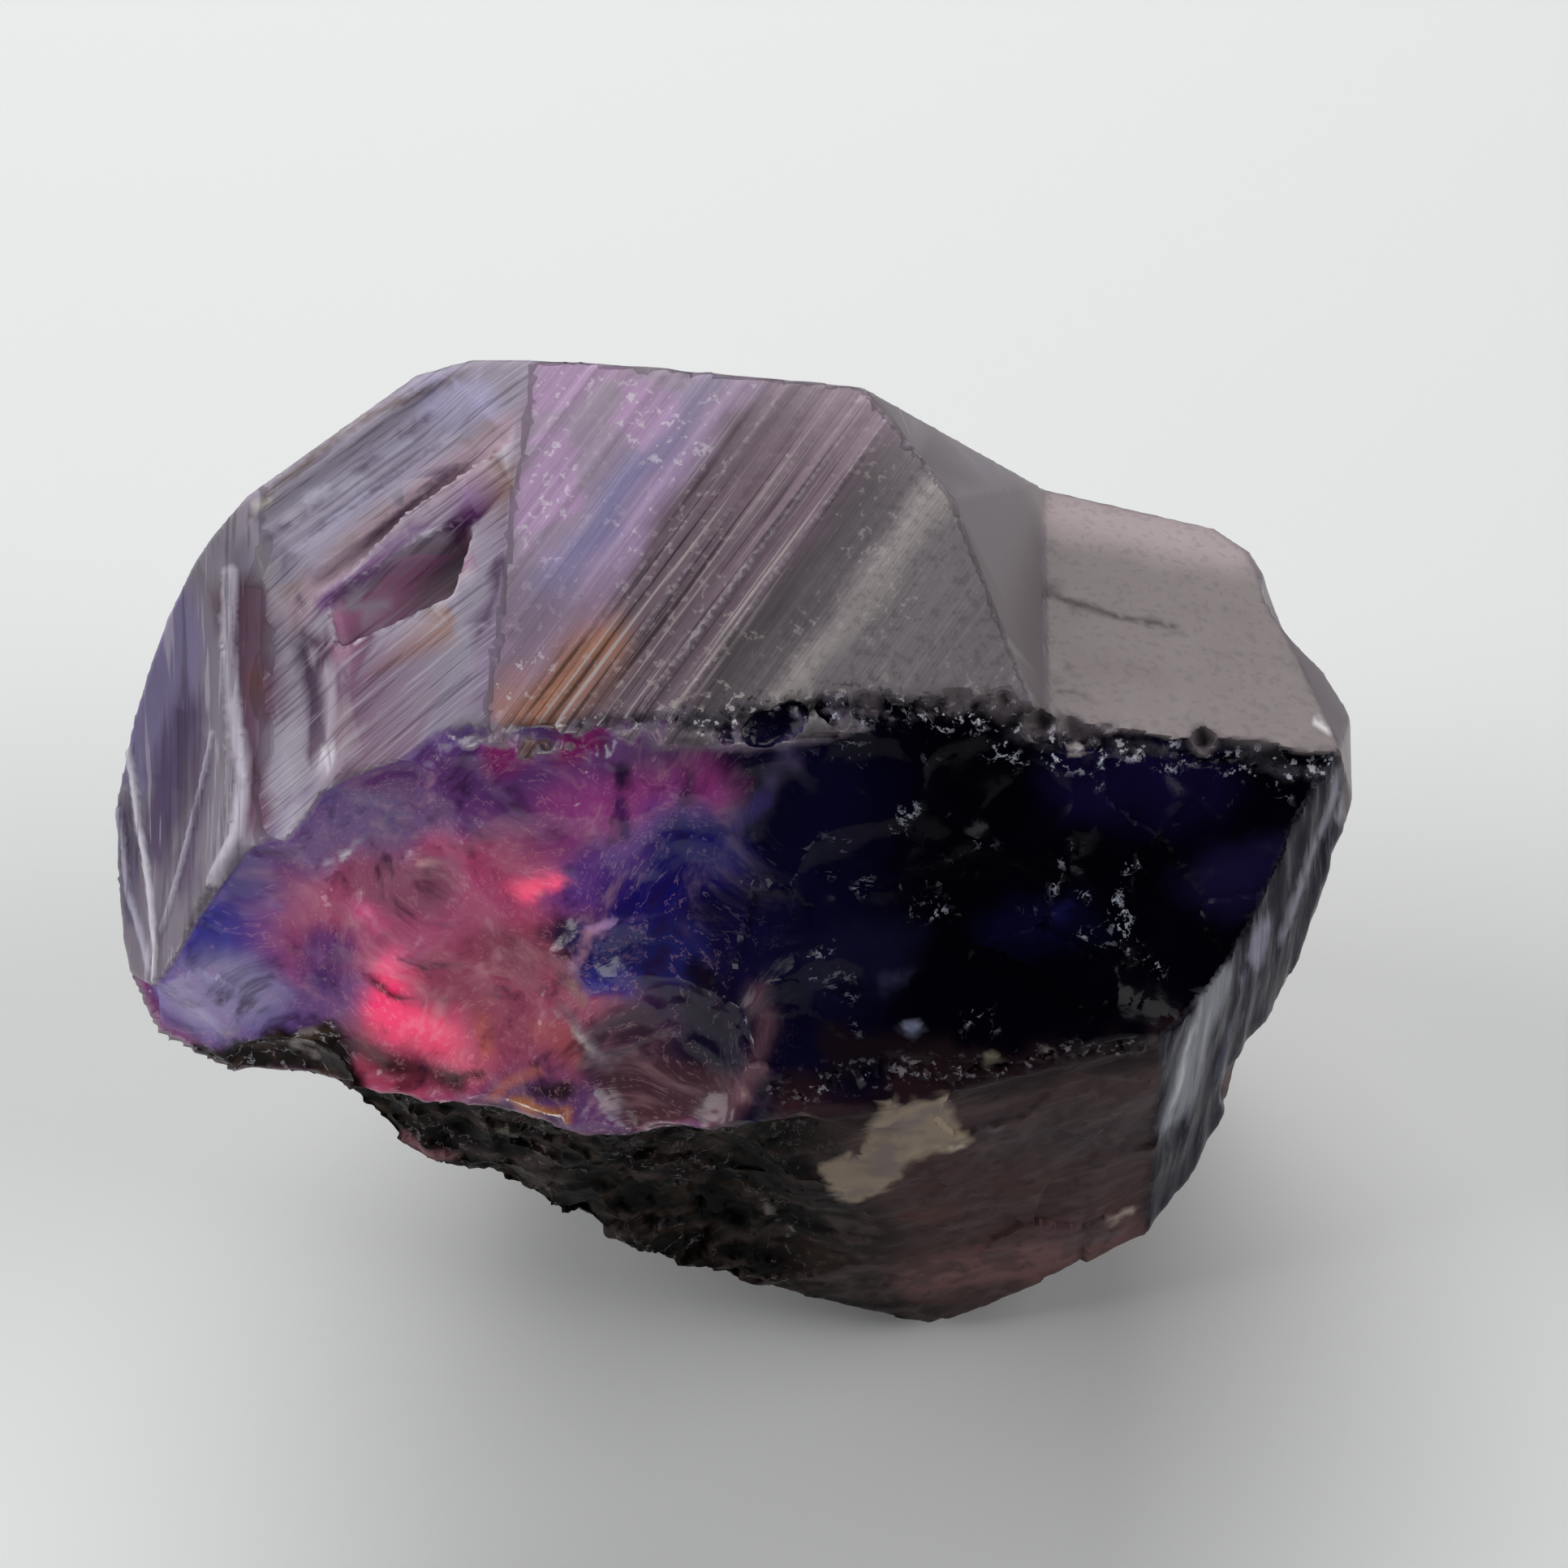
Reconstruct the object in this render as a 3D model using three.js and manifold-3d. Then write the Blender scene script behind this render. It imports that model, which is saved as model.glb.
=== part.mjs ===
// A rough sapphire crystal, broken from a larger barrel-shaped one. One solid.
// Millimetres, +Z up, +Y towards the back, origin under the middle of the stone on its resting face.
//
// The stone keeps one striated growth face, which slopes up to the back. The rest is breakage:
// a steep front with shell-shaped scars, a low shoulder on the right, a stepped corner and curved
// flakes on the left end, a rough hollowed underside, and a small flat foot that it stands on.
import * as THREE from "three";
import { ConvexGeometry } from "three/addons/geometries/ConvexGeometry.js";
import { mergeVertices } from "three/addons/utils/BufferGeometryUtils.js";
import Module from "manifold-3d";

const wasm = await Module();
wasm.setup();

// Corners of the stone, named as they are met from left to right.
const CROWN = {
  cornerLow: [-4.17, 1.6, 6.78],
  corner: [-3.93, 1.78, 6.98],
  rise: [-3.22, 2.25, 7.18],
  bend: [-2.7, 2.67, 7.35],
  left: [-2.21, 2.76, 7.45],
  middle: [-1.0, 2.68, 7.43],
  right: [0.6, 2.53, 7.37],
};
const BROW = {
  tip: [-4.68, -0.88, 4.6],
  cheek: [-3.9, -0.42, 5.6],
  notch: [-3.34, -0.2, 5.98],
  left: [-2.42, -0.04, 6.43],
  middle: [-0.5, 0.0, 6.47],
  peak: [0.2, 0.1, 6.5],
  right: [1.36, 0.17, 6.5],
  step: [1.95, 0.2, 6.25],
  shoulder: [2.85, 0.05, 6.12],
  end: [4.1, 0.2, 5.93],
};
const RIDGE_TOP = [1.27, 1.67, 7.06];
const LEFT_END = [
  [-4.33, 1.48, 6.6],
  [-4.6, 1.23, 6.25],
  [-4.8, 0.97, 5.9],
  [-4.98, 0.67, 5.5],
  [-5.12, 0.28, 5.0],
  [-5.05, -0.11, 4.6],
  [-4.95, -0.57, 4.3],
  [-4.83, -0.77, 4.15],
  [-4.71, -1.0, 3.95],
  [-4.4, -1.08, 3.8],
];
const CHIN = [
  [-4.13, -1.14, 3.6],
  [-3.2, -1.6, 3.9],
  [-1.6, -1.75, 3.9],
  [-0.7, -1.8, 4.0],
  [0.5, -1.75, 4.2],
  [2.0, -1.5, 4.6],
  [2.85, -1.35, 4.6],
];
const RIGHT_END = [
  [3.05, -1.0, 5.0],
  [3.6, -0.38, 4.9],
  [3.86, -0.06, 5.08],
  [4.31, 0.32, 5.2],
  [4.23, 0.13, 4.9],
  [4.08, -0.12, 4.4],
  [4.02, -0.23, 3.8],
  [3.78, -0.42, 3.3],
  [4.29, 0.82, 5.6],
];
const JAW = [
  [-3.64, -1.28, 3.4],
  [-2.88, -1.57, 3.0],
  [-2.06, -1.54, 2.6],
  [-1.46, -1.57, 1.9],
  [-0.76, -1.53, 1.3],
  [0.5, -1.46, 0.6],
  [1.26, -1.38, 0.12],
  [1.72, -1.36, 0.4],
  [2.24, -1.32, 0.8],
  [3.03, -1.09, 1.2],
  [3.39, -0.84, 1.8],
];
const SHOULDER_BACK = [
  [2.08, 3.04, 5.68],
  [2.79, 2.95, 5.58],
  [3.43, 2.83, 5.48],
  [3.71, 2.6, 5.45],
];
const BACK = [
  [-4.3, 2.9, 4.7],
  [-2.6, 4.1, 4.5],
  [-0.6, 4.4, 4.2],
  [1.6, 4.3, 3.8],
  [3.4, 3.7, 3.4],
  [4.2, 2.3, 3.6],
  [-3.6, 2.6, 2.0],
  [3.6, 2.6, 1.6],
];
const FOOT = [
  [1.2, -1.0, 0],
  [-2.0, 0.8, 0],
  [-1.9, 2.8, 0],
  [1.3, 3.4, 0],
  [2.9, 2.2, 0],
  [2.7, -0.1, 0],
];

// Larger than the stone in every direction.
const BEYOND = 20;

// Corners closer than this are one corner, and slivers thinner than this are smoothed away.
const MERGE = 1e-5;
const THINNEST = 0.012;

// A closed geometry as a solid, and back.
function solidOf(geometry) {
  const bare = geometry.clone();
  bare.deleteAttribute("normal");
  bare.deleteAttribute("uv");
  const merged = mergeVertices(bare, MERGE);
  return new wasm.Manifold(
    new wasm.Mesh({
      numProp: 3,
      vertProperties: merged.attributes.position.array,
      triVerts: new Uint32Array(merged.index.array),
    }),
  );
}

function geometryOf(solid) {
  const mesh = solid.getMesh();
  const geometry = new THREE.BufferGeometry();
  geometry.setAttribute("position", new THREE.BufferAttribute(mesh.vertProperties, 3));
  geometry.setIndex(new THREE.BufferAttribute(mesh.triVerts, 1));
  return geometry;
}

function vector(p) {
  return new THREE.Vector3(...p);
}

function hullOf(points) {
  return solidOf(new ConvexGeometry(points.map(vector)));
}

// Chips and pits fall the same way each time the stone is built.
function seeded(seed) {
  let state = seed;
  return (low, high) => {
    state = (Math.imul(state, 1664525) + 1013904223) >>> 0;
    return low + ((high - low) * state) / 2 ** 32;
  };
}

// A plane through three points. Its normal leans the way `outward` points.
function planeThrough(a, b, c, outward) {
  const plane = new THREE.Plane().setFromCoplanarPoints(vector(a), vector(b), vector(c));
  return plane.normal.dot(vector(outward)) < 0 ? plane.negate() : plane;
}

// The space on the outer side of every plane listed.
function spaceOutside(planes) {
  let space = solidOf(new THREE.BoxGeometry(BEYOND, BEYOND, BEYOND));
  for (const plane of planes) {
    space = space.trimByPlane(plane.normal.toArray(), -plane.constant);
  }
  return space;
}

// The space over a stepped face. The profile lists how far across and how high each corner is.
function spaceOverSteps(origin, outward, along, profile) {
  const out = vector(outward).normalize();
  const run = vector(along).projectOnPlane(out).normalize();
  const across = new THREE.Vector3().crossVectors(run, out);
  const shape = new THREE.Shape();
  shape.moveTo(profile[0][0], BEYOND / 2);
  for (const [reach, height] of profile) {
    shape.lineTo(reach, height);
  }
  shape.lineTo(profile.at(-1)[0], BEYOND / 2);
  shape.closePath();
  const prism = new THREE.ExtrudeGeometry(shape, { depth: BEYOND, bevelEnabled: false });
  prism.translate(0, 0, -BEYOND / 2);
  const frame = new THREE.Matrix4().makeBasis(across, out, run.clone().negate());
  prism.applyMatrix4(frame.setPosition(vector(origin)));
  return solidOf(prism);
}

// Growth steps between two distances: treads of uneven width, each a little higher or lower.
const RISER = 0.015;
function growthSteps(from, to, tread, relief, random) {
  const steps = [];
  let reach = from;
  while (reach < to) {
    const next = Math.min(to, reach + tread * random(0.5, 1.5));
    const height = random(-relief, 0);
    steps.push([reach + RISER, height], [next, height + relief * random(-0.3, 0.3)]);
    reach = next;
  }
  return steps;
}

// A shell-shaped scar, `depth` deep at the point given. It may be drawn out along a direction.
// A larger scar is cut with more facets, so that they all come out about as wide.
const SCAR_DETAIL = 1.5;
const SCAR_DETAIL_PER_MM = 2.6;
function scar(point, outward, radius, depth, along = [0, 0, 1], stretch = 1) {
  const detail = Math.round(SCAR_DETAIL + SCAR_DETAIL_PER_MM * radius);
  const out = vector(outward).normalize();
  const run = vector(along).projectOnPlane(out).normalize();
  const across = new THREE.Vector3().crossVectors(out, run);
  const bowl = new THREE.IcosahedronGeometry(radius, detail).scale(1, 1, stretch);
  const frame = new THREE.Matrix4().makeBasis(across, out, run);
  frame.setPosition(vector(point).addScaledVector(out, radius - depth));
  return solidOf(bowl.applyMatrix4(frame));
}

// Turns a geometry at random and moves its middle to a point.
function tumbled(geometry, point, random) {
  const turn = new THREE.Euler(random(0, Math.PI), random(0, Math.PI), random(0, Math.PI));
  const matrix = new THREE.Matrix4().makeRotationFromEuler(turn).setPosition(point);
  return solidOf(geometry.applyMatrix4(matrix));
}

// An angular bite with flat sides, `depth` deep at the point given.
const BITE_DETAIL = 1;
function bite(point, outward, radius, depth, random) {
  const middle = point.clone().addScaledVector(vector(outward).normalize(), radius - depth);
  return tumbled(new THREE.IcosahedronGeometry(radius, BITE_DETAIL), middle, random);
}

// A small angular grain.
function grain(point, size, random) {
  return tumbled(new THREE.OctahedronGeometry(size, 0), point, random);
}

// A point part of the way along a chain of corners.
function pointAlong(corners, share) {
  const place = share * (corners.length - 1);
  const index = Math.min(Math.floor(place), corners.length - 2);
  return vector(corners[index]).lerp(vector(corners[index + 1]), place - index);
}

const UP = [0, 0, 1];
const dice = seeded(12);

const block = hullOf([
  ...Object.values(CROWN),
  ...Object.values(BROW),
  RIDGE_TOP,
  ...LEFT_END,
  ...CHIN,
  ...RIGHT_END,
  ...JAW,
  ...SHOULDER_BACK,
  ...BACK,
  ...FOOT,
]);

// Low shoulder on the right. The steep flank above it has a front facet and a back facet.
const shoulder = planeThrough(BROW.step, BROW.end, SHOULDER_BACK[2], UP);
const flankFoot = [2.07, 1.74, 5.85];
const flankFront = planeThrough(RIDGE_TOP, BROW.step, flankFoot, [1, 0, 1]);
const flankBack = planeThrough(RIDGE_TOP, CROWN.right, SHOULDER_BACK[0], [1, 0, 1]);

// Growth face, striated along its run. A step on the right sets off a smoother triangle.
const growthDip = Math.PI / 9;
const growthOrigin = [0, 0, 6.48];
const growthOut = [0, -Math.sin(growthDip), Math.cos(growthDip)];
const growthRun = [0.564, 0.776, 0.282];
const growthProfile = [
  [-6, 0],
  ...growthSteps(-3.4, -1.58, 0.15, 0.045, dice),
  ...growthSteps(-1.57, -0.66, 0.07, 0.06, dice),
  [-0.64, -0.05],
  [-0.2, -0.06],
  [0.0, 0.0],
  ...growthSteps(0.3, 0.75, 0.08, 0.02, dice),
  [0.8, 0.02],
  [6, 0.05],
];

// The rim where the growth face ends on the left, and the sunken corner beyond it.
const rim = planeThrough([-1.93, 2.05, 7.2], [-2.1, 0.05, 6.47], [-2.45, 0.4, 6.3], [-1, 0, 1]);
const rimBend = planeThrough([-1.93, 2.05, 7.2], [-2.45, 2.6, 7.38], [-2.3, 2.2, 7.15], [-1, -1, 1]);
const cheek = planeThrough([-2.38, 0.1, 6.4], BROW.notch, [-3.35, 0.59, 6.35], UP);
const terraceOrigin = [-2.66, 1.6, 6.83];
const terraceOut = [0.026, -0.441, 0.897];
const terraceRun = [1.5, 1.1, 0.5];
const terraceEdge = planeThrough(terraceOrigin, [-3.34, 1.13, 6.6], [-2.6, 1.55, 6.6], [1, -1, 1]);
const terraceProfile = [
  [-3, 0.04],
  [-0.8, 0.04],
  ...growthSteps(-0.78, -0.42, 0.06, 0.04, dice),
  [-0.4, 0.01],
  [-0.17, 0.03],
  [-0.15, -0.03],
  [-0.06, -0.03],
  [-0.04, 0.02],
  [1, 0.02],
];
const terraces = spaceOverSteps(terraceOrigin, terraceOut, terraceRun, terraceProfile);

// A four-cornered recess below the lowest terrace, with a sloping near wall.
const recess = hullOf([
  [-3.32, 1.1, 7.0],
  [-2.2, 1.55, 7.3],
  [-2.4, 0.85, 7.05],
  [-3.25, 0.6, 6.8],
  [-3.28, 1.12, 6.42],
  [-2.25, 1.55, 6.62],
  [-2.35, 1.15, 6.4],
  [-3.2, 0.85, 6.25],
]);

// Curved flakes off the left end. The two long ones meet in a sharp crest.
const LEFT_SCARS = [
  scar([-4.52, 0.62, 5.85], [-0.7, -0.46, 0.55], 2.2, 0.2, [-0.88, -2.48, -2.44], 2.0),
  scar([-3.7, 0.55, 6.2], [-0.2, -0.52, 0.83], 0.8, 0.16, [0, -1.9, -1.3], 2.4),
  scar([-4.95, -0.2, 4.75], [-0.9, -0.3, 0.3], 1.2, 0.05, [-0.3, -1.0, -1.3], 1.6),
  scar([-5.0, -0.5, 4.3], [-0.85, -0.3, 0.1], 0.8, 0.06),
];

// Scars on the steep front, from the left tip to the dark right half.
const FRONT = [0, -0.82, 0.57];
const FRONT_SCARS = [
  scar([-3.9, -0.85, 4.75], FRONT, 2.6, 0.07),
  scar([-2.3, -1.2, 4.5], FRONT, 1.9, 0.1, [0.5, -0.6, -0.6], 1.2),
  scar([-0.92, -1.42, 4.32], FRONT, 1.0, 0.17, [0.3, -0.5, -0.6], 1.1),
  scar([-0.62, -0.7, 5.35], FRONT, 1.6, 0.1),
  scar([1.4, -0.65, 5.4], [0.04, -0.85, 0.52], 3.2, 0.14),
  scar([3.0, -0.6, 5.2], [0.25, -0.8, 0.55], 2.4, 0.09),
];

// Bites out of the outline, and the hollows under the left half.
const EDGE_SCARS = [
  scar([4.0, 1.72, 5.5], [0.85, 0.41, 0.32], 1.2, 0.13),
  scar([3.74, -0.5, 2.95], [0.89, -0.35, -0.28], 0.9, 0.16),
  scar([-3.65, -1.27, 4.05], [-0.2, -0.9, -0.3], 0.5, 0.13, [1, 0, 0], 1.3),
  scar([-3.3, -1.42, 3.3], [-0.46, -0.7, -0.55], 0.4, 0.14),
  scar([-2.15, -1.58, 2.65], [-0.36, -0.74, -0.58], 1.0, 0.15),
  scar([-1.0, -1.68, 2.9], [-0.15, -0.98, -0.15], 2.0, 0.16, [1, 0, -0.7], 1.2),
];

// Edges that the breakage lies between.
const browLine = [BROW.notch, BROW.left, BROW.middle, BROW.peak, BROW.right, BROW.step, BROW.end];
const chinLine = [[-3.6, -1.3, 3.9], [-2.4, -1.65, 3.9], ...CHIN.slice(2)];
const crustLine = [[-3.2, -1.45, 3.75], [-1.6, -1.72, 3.75], [0.6, -1.7, 3.9]];
const crustFoot = [[-2.8, -1.56, 3.2], [-1.4, -1.6, 2.3], [0.5, -1.55, 1.2]];
const belly = [[-2.6, -0.7, 2.2], [-1.4, -0.9, 1.3], [0.0, -0.9, 0.6]];
const soleLine = [[-2.0, 0.6, 0.2], [-1.0, 0.2, 0.2], [0.4, -0.5, 0.2]];

// Hackly breakage: flat-sided bites spread between two edges, leaning every way.
function hackles({ count, upper, lower, outward, radii, depths, lean }, random) {
  const bites = [];
  for (let i = 0; i < count; i += 1) {
    const share = (i + random(0, 1)) / count;
    const point = pointAlong(upper, share).lerp(pointAlong(lower, share), random(0.05, 0.95));
    const out = outward.map((value) => value + random(-lean, lean));
    bites.push(bite(point, out, random(...radii), random(...depths), random));
  }
  return bites;
}

const front = { upper: browLine, lower: chinLine, outward: FRONT };
const crust = { upper: crustLine, lower: crustFoot, outward: [-0.2, -0.95, -0.25] };
const sole = { upper: belly, lower: soleLine, outward: [-0.3, -0.6, -0.75] };
const HACKLES = [
  ...hackles({ ...front, count: 20, radii: [2.0, 3.6], depths: [0.06, 0.16], lean: 0.18 }, dice),
  ...hackles({ ...front, count: 16, radii: [1.0, 1.5], depths: [0.08, 0.15], lean: 0.3 }, dice),
  ...hackles({ ...crust, count: 20, radii: [0.9, 2.0], depths: [0.08, 0.2], lean: 0.3 }, dice),
  ...hackles({ ...sole, count: 10, radii: [0.8, 1.6], depths: [0.05, 0.14], lean: 0.25 }, dice),
];

// The front top edge is crushed into grains, from near its left end to the right corner.
const GRAIN_COUNT = 110;
const GRAIN_SIZES = [0.05, 0.17];
const CRUSHED_FROM = 0.14;
const GRAINS = [];
for (let i = 0; i < GRAIN_COUNT; i += 1) {
  const spread = new THREE.Vector3(0, dice(-0.12, 0.06), dice(-0.1, 0.05));
  const point = pointAlong(browLine, dice(CRUSHED_FROM, 1)).add(spread);
  GRAINS.push(grain(point, dice(...GRAIN_SIZES), dice));
}

// Faces away from the best side: growth steps level round the upper back, broken faces below them.
const backProfile = [[-6, 0], ...growthSteps(-2.0, 2.2, 0.3, 0.1, dice), [6, 0]];
const backSteps = spaceOverSteps([-0.8, 3.57, 5.9], [0, 0.887, 0.462], [1, 0, 0], backProfile);
const BACK_SCARS = [
  scar([-2.2, 3.7, 3.0], [-0.2, 0.95, -0.25], 5.0, 0.22),
  scar([-0.6, 3.8, 1.6], [0.0, 0.95, -0.3], 3.5, 0.2),
  scar([1.6, 4.0, 2.6], [0.15, 0.97, -0.2], 4.5, 0.2),
  scar([3.3, 3.1, 1.9], [0.6, 0.8, -0.3], 3.5, 0.2),
  scar([3.0, 3.5, 4.5], [0.45, 0.8, 0.4], 3.0, 0.12),
  scar([-4.1, 1.8, 3.4], [-0.85, 0.1, -0.5], 3.5, 0.2),
  scar([-3.6, 0.4, 2.7], [-0.75, -0.45, -0.6], 3.0, 0.22),
  scar([-3.0, 2.2, 1.6], [-0.8, 0.3, -0.55], 2.6, 0.2),
  scar([3.9, 1.2, 2.6], [0.9, -0.05, -0.4], 3.5, 0.16),
  scar([3.4, 0.4, 1.2], [0.85, -0.3, -0.5], 2.4, 0.16),
  scar([-3.8, 2.8, 5.6], [-0.6, 0.7, 0.4], 3.2, 0.12),
];

let stone = block;
stone = stone.subtract(spaceOutside([shoulder, flankFront]));
stone = stone.subtract(spaceOutside([shoulder, flankBack]));
stone = stone.subtract(spaceOverSteps(growthOrigin, growthOut, growthRun, growthProfile));
stone = stone.subtract(spaceOutside([rim, rimBend, cheek, terraceEdge]));
stone = stone.subtract(terraces.intersect(spaceOutside([rim, rimBend, terraceEdge.clone().negate()])));
stone = stone.subtract(recess);
stone = stone.subtract(backSteps);
for (const bite of [...LEFT_SCARS, ...FRONT_SCARS, ...EDGE_SCARS, ...HACKLES, ...GRAINS, ...BACK_SCARS]) {
  stone = stone.subtract(bite);
}

// Slivers too thin to see are smoothed out, and loose crumbs fall away.
stone = stone.simplify(THINNEST);
stone = stone.decompose().reduce((a, b) => (b.volume() > a.volume() ? b : a));

const geometry = geometryOf(stone);
geometry.computeBoundingBox();
const { min, max } = geometry.boundingBox;
geometry.translate(-(min.x + max.x) / 2, -(min.y + max.y) / 2, -min.z);

const crystal = new THREE.Mesh(
  geometry,
  new THREE.MeshStandardMaterial({ color: 0x3a2f52, roughness: 0.35, metalness: 0 }),
);
crystal.name = "sapphire_crystal";

const part = new THREE.Group();
part.add(crystal);
export default part;
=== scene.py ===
"""Looks of the rough sapphire crystal: its surface and colours, the floor, the lamps and the camera."""

import math

import bmesh
import bpy
import numpy as np
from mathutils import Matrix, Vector, noise
from mathutils.bvhtree import BVHTree


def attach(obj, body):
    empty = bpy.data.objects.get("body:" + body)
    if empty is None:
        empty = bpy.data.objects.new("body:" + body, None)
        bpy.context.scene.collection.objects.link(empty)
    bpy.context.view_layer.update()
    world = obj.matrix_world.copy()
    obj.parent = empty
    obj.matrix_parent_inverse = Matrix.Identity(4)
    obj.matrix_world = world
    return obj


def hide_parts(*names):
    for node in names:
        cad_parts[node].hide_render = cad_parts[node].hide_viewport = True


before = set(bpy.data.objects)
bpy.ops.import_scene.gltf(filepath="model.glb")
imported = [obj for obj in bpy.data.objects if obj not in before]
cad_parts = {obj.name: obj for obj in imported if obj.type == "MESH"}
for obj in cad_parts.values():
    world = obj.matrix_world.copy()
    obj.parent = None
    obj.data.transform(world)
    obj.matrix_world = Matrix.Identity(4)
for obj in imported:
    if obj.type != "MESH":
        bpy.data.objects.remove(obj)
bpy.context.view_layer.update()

# Camera, close above the stone and tilted down, as a hand-held macro picture is taken.
# Lengths in this script are millimetres, and MM turns them into the frame's metres.
MM = 0.001
PHOTO_WIDTH_PIXELS = 1932
FOCAL_LENGTH_PIXELS = 4100
SENSOR_WIDTH = 36
CAMERA_PLACE = Vector((0.405, -16.3, 25.0))
CAMERA_DIP_DEGREES = 52
NEAREST_SEEN = 1
FARTHEST_SEEN = 2000

lens = bpy.data.cameras.new("close_up")
lens.sensor_width = SENSOR_WIDTH
lens.lens = SENSOR_WIDTH * FOCAL_LENGTH_PIXELS / PHOTO_WIDTH_PIXELS
lens.clip_start = NEAREST_SEEN * MM
lens.clip_end = FARTHEST_SEEN * MM
camera = bpy.data.objects.new("close_up", lens)
camera.location = CAMERA_PLACE * MM
camera.rotation_euler = (math.radians(90 - CAMERA_DIP_DEGREES), 0, 0)
bpy.context.collection.objects.link(camera)
bpy.context.scene.camera = camera
CAMERA_TURN = camera.rotation_euler.to_matrix()

# The crystal: one broken piece of natural sapphire, which is corundum with traces of iron,
# titanium and chromium. It grew in rock, where its striated top face was left, and broke off in
# front and underneath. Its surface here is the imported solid's, cut finer to carry that breakage.
CRYSTAL = "sapphire_crystal"
WELD = 0.004
VOXEL = 0.037
MOST_TRIANGLES = 195000
SHARP_FROM_DEGREES = 38
PATTERN_SEED = 5
noise.seed_set(PATTERN_SEED)
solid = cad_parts[CRYSTAL].data


def with_modifiers(holder):
    """The holder's mesh after its modifiers, which are then taken off."""
    done = holder.evaluated_get(bpy.context.evaluated_depsgraph_get())
    mesh = bpy.data.meshes.new_from_object(done)
    holder.modifiers.clear()
    return mesh


stone = bpy.data.objects.new("sapphire_rough", solid.copy())
bpy.context.collection.objects.link(stone)
weld = stone.modifiers.new("weld", "WELD")
weld.merge_threshold = WELD * MM
remesh = stone.modifiers.new("fine", "REMESH")
remesh.mode = "VOXEL"
remesh.voxel_size = VOXEL * MM
stone.data = with_modifiers(stone)


def unit(x, y, z):
    return np.array((x, y, z)) / math.hypot(x, y, z)


# Faces of the stone, each a plane through a place and the way it looks.
GROWTH = ((0.405, -1.3, 6.48), unit(0.0, -0.342, 0.940))
SHOULDER = ((2.355, -1.1, 6.25), unit(0.14, 0.2, 0.97))
RIM = ((-1.525, 0.75, 7.2), unit(-0.95, 0.18, -0.22))
LOWER_FACET = ((3.88, -2.02, 4.09), unit(0.69, -0.72, 0.0))
UPPER_FACET = ((4.32, -1.34, 5.52), unit(0.71, -0.69, 0.14))
# The striations run up the growth face, and change across it.
STRIATION = unit(0.564, 0.776, 0.282)
ACROSS = np.cross(STRIATION, GROWTH[1])
# The brow on the left, where the front meets the stepped corner: its height at each distance to the
# right. The last height is above the stone, so that all of the front right of there lies under it.
BROW_RIGHTS = (-4.6, -4.34, -3.49, -2.93, -2.02, -1.25, -1.2)
BROW_HEIGHTS = (4.2, 4.45, 5.54, 5.9, 6.37, 6.42, 9.0)
# The chin, where the front meets the underside. It is level on the left, rises past its first bend
# and rises more past its second, by so many millimetres to a millimetre.
CHIN_HEIGHT = 3.72
CHIN_BENDS = (-1.2, 0.4)
CHIN_RISES = (0.11, 0.06)

# Where a kind of face fades in, as the two ends of a soft step. A look is a cosine, which says how
# squarely a point looks the face's way. A depth is how far it lies over the face's plane or under
# the face's upper line. A start is counted to the right, an end to the left, and a front forwards.
GROWTH_LOOK = (0.80, 0.90)
GROWTH_DEPTH = (-0.24, -0.16)
RIM_DEPTH = (-0.05, 0.05)
LIP_HEIGHT = 0.12
LIP_FRONT = (0.9, 1.1)
LIP_START = (-1.2, -0.8)
SHOULDER_LOOK = (0.90, 0.96)
SHOULDER_START = (1.6, 2.0)
CHIN_DEPTH = (-0.08, 0.08)
FRONT_LOOK = (0.25, 0.45)
BROW_FRONT = (1.1, 1.16)
BROW_START = (-1.2, -1.0)
TOP_FRONT = (1.04, 1.12)
TOP_END = (1.0, 1.2)
FACET_DEPTH = (-0.09, -0.05)
FACET_LOOK = (0.3, 0.5)
BROW_DEPTH = (-0.04, 0.04)
TERRACE_END = (0.9, 1.2)
FACE_KINDS = ("growth", "terrace", "fracture", "shoulder", "lower", "narrow")


def height_over(plane, spots):
    return (spots - np.array(plane[0])) @ plane[1]


def ramp(value, low, high):
    """0 at low and before it, 1 at high and after it, with a soft step between."""
    share = np.clip((value - low) / (high - low), 0, 1)
    return share * share * (3 - 2 * share)


def points_of(mesh):
    """The places of a mesh's vertices in millimetres, and the ways they look."""
    spots = np.empty(3 * len(mesh.vertices))
    outs = np.empty(3 * len(mesh.vertices))
    mesh.vertices.foreach_get("co", spots)
    mesh.vertex_normals.foreach_get("vector", outs)
    return spots.reshape(-1, 3) / MM, outs.reshape(-1, 3)


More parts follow.
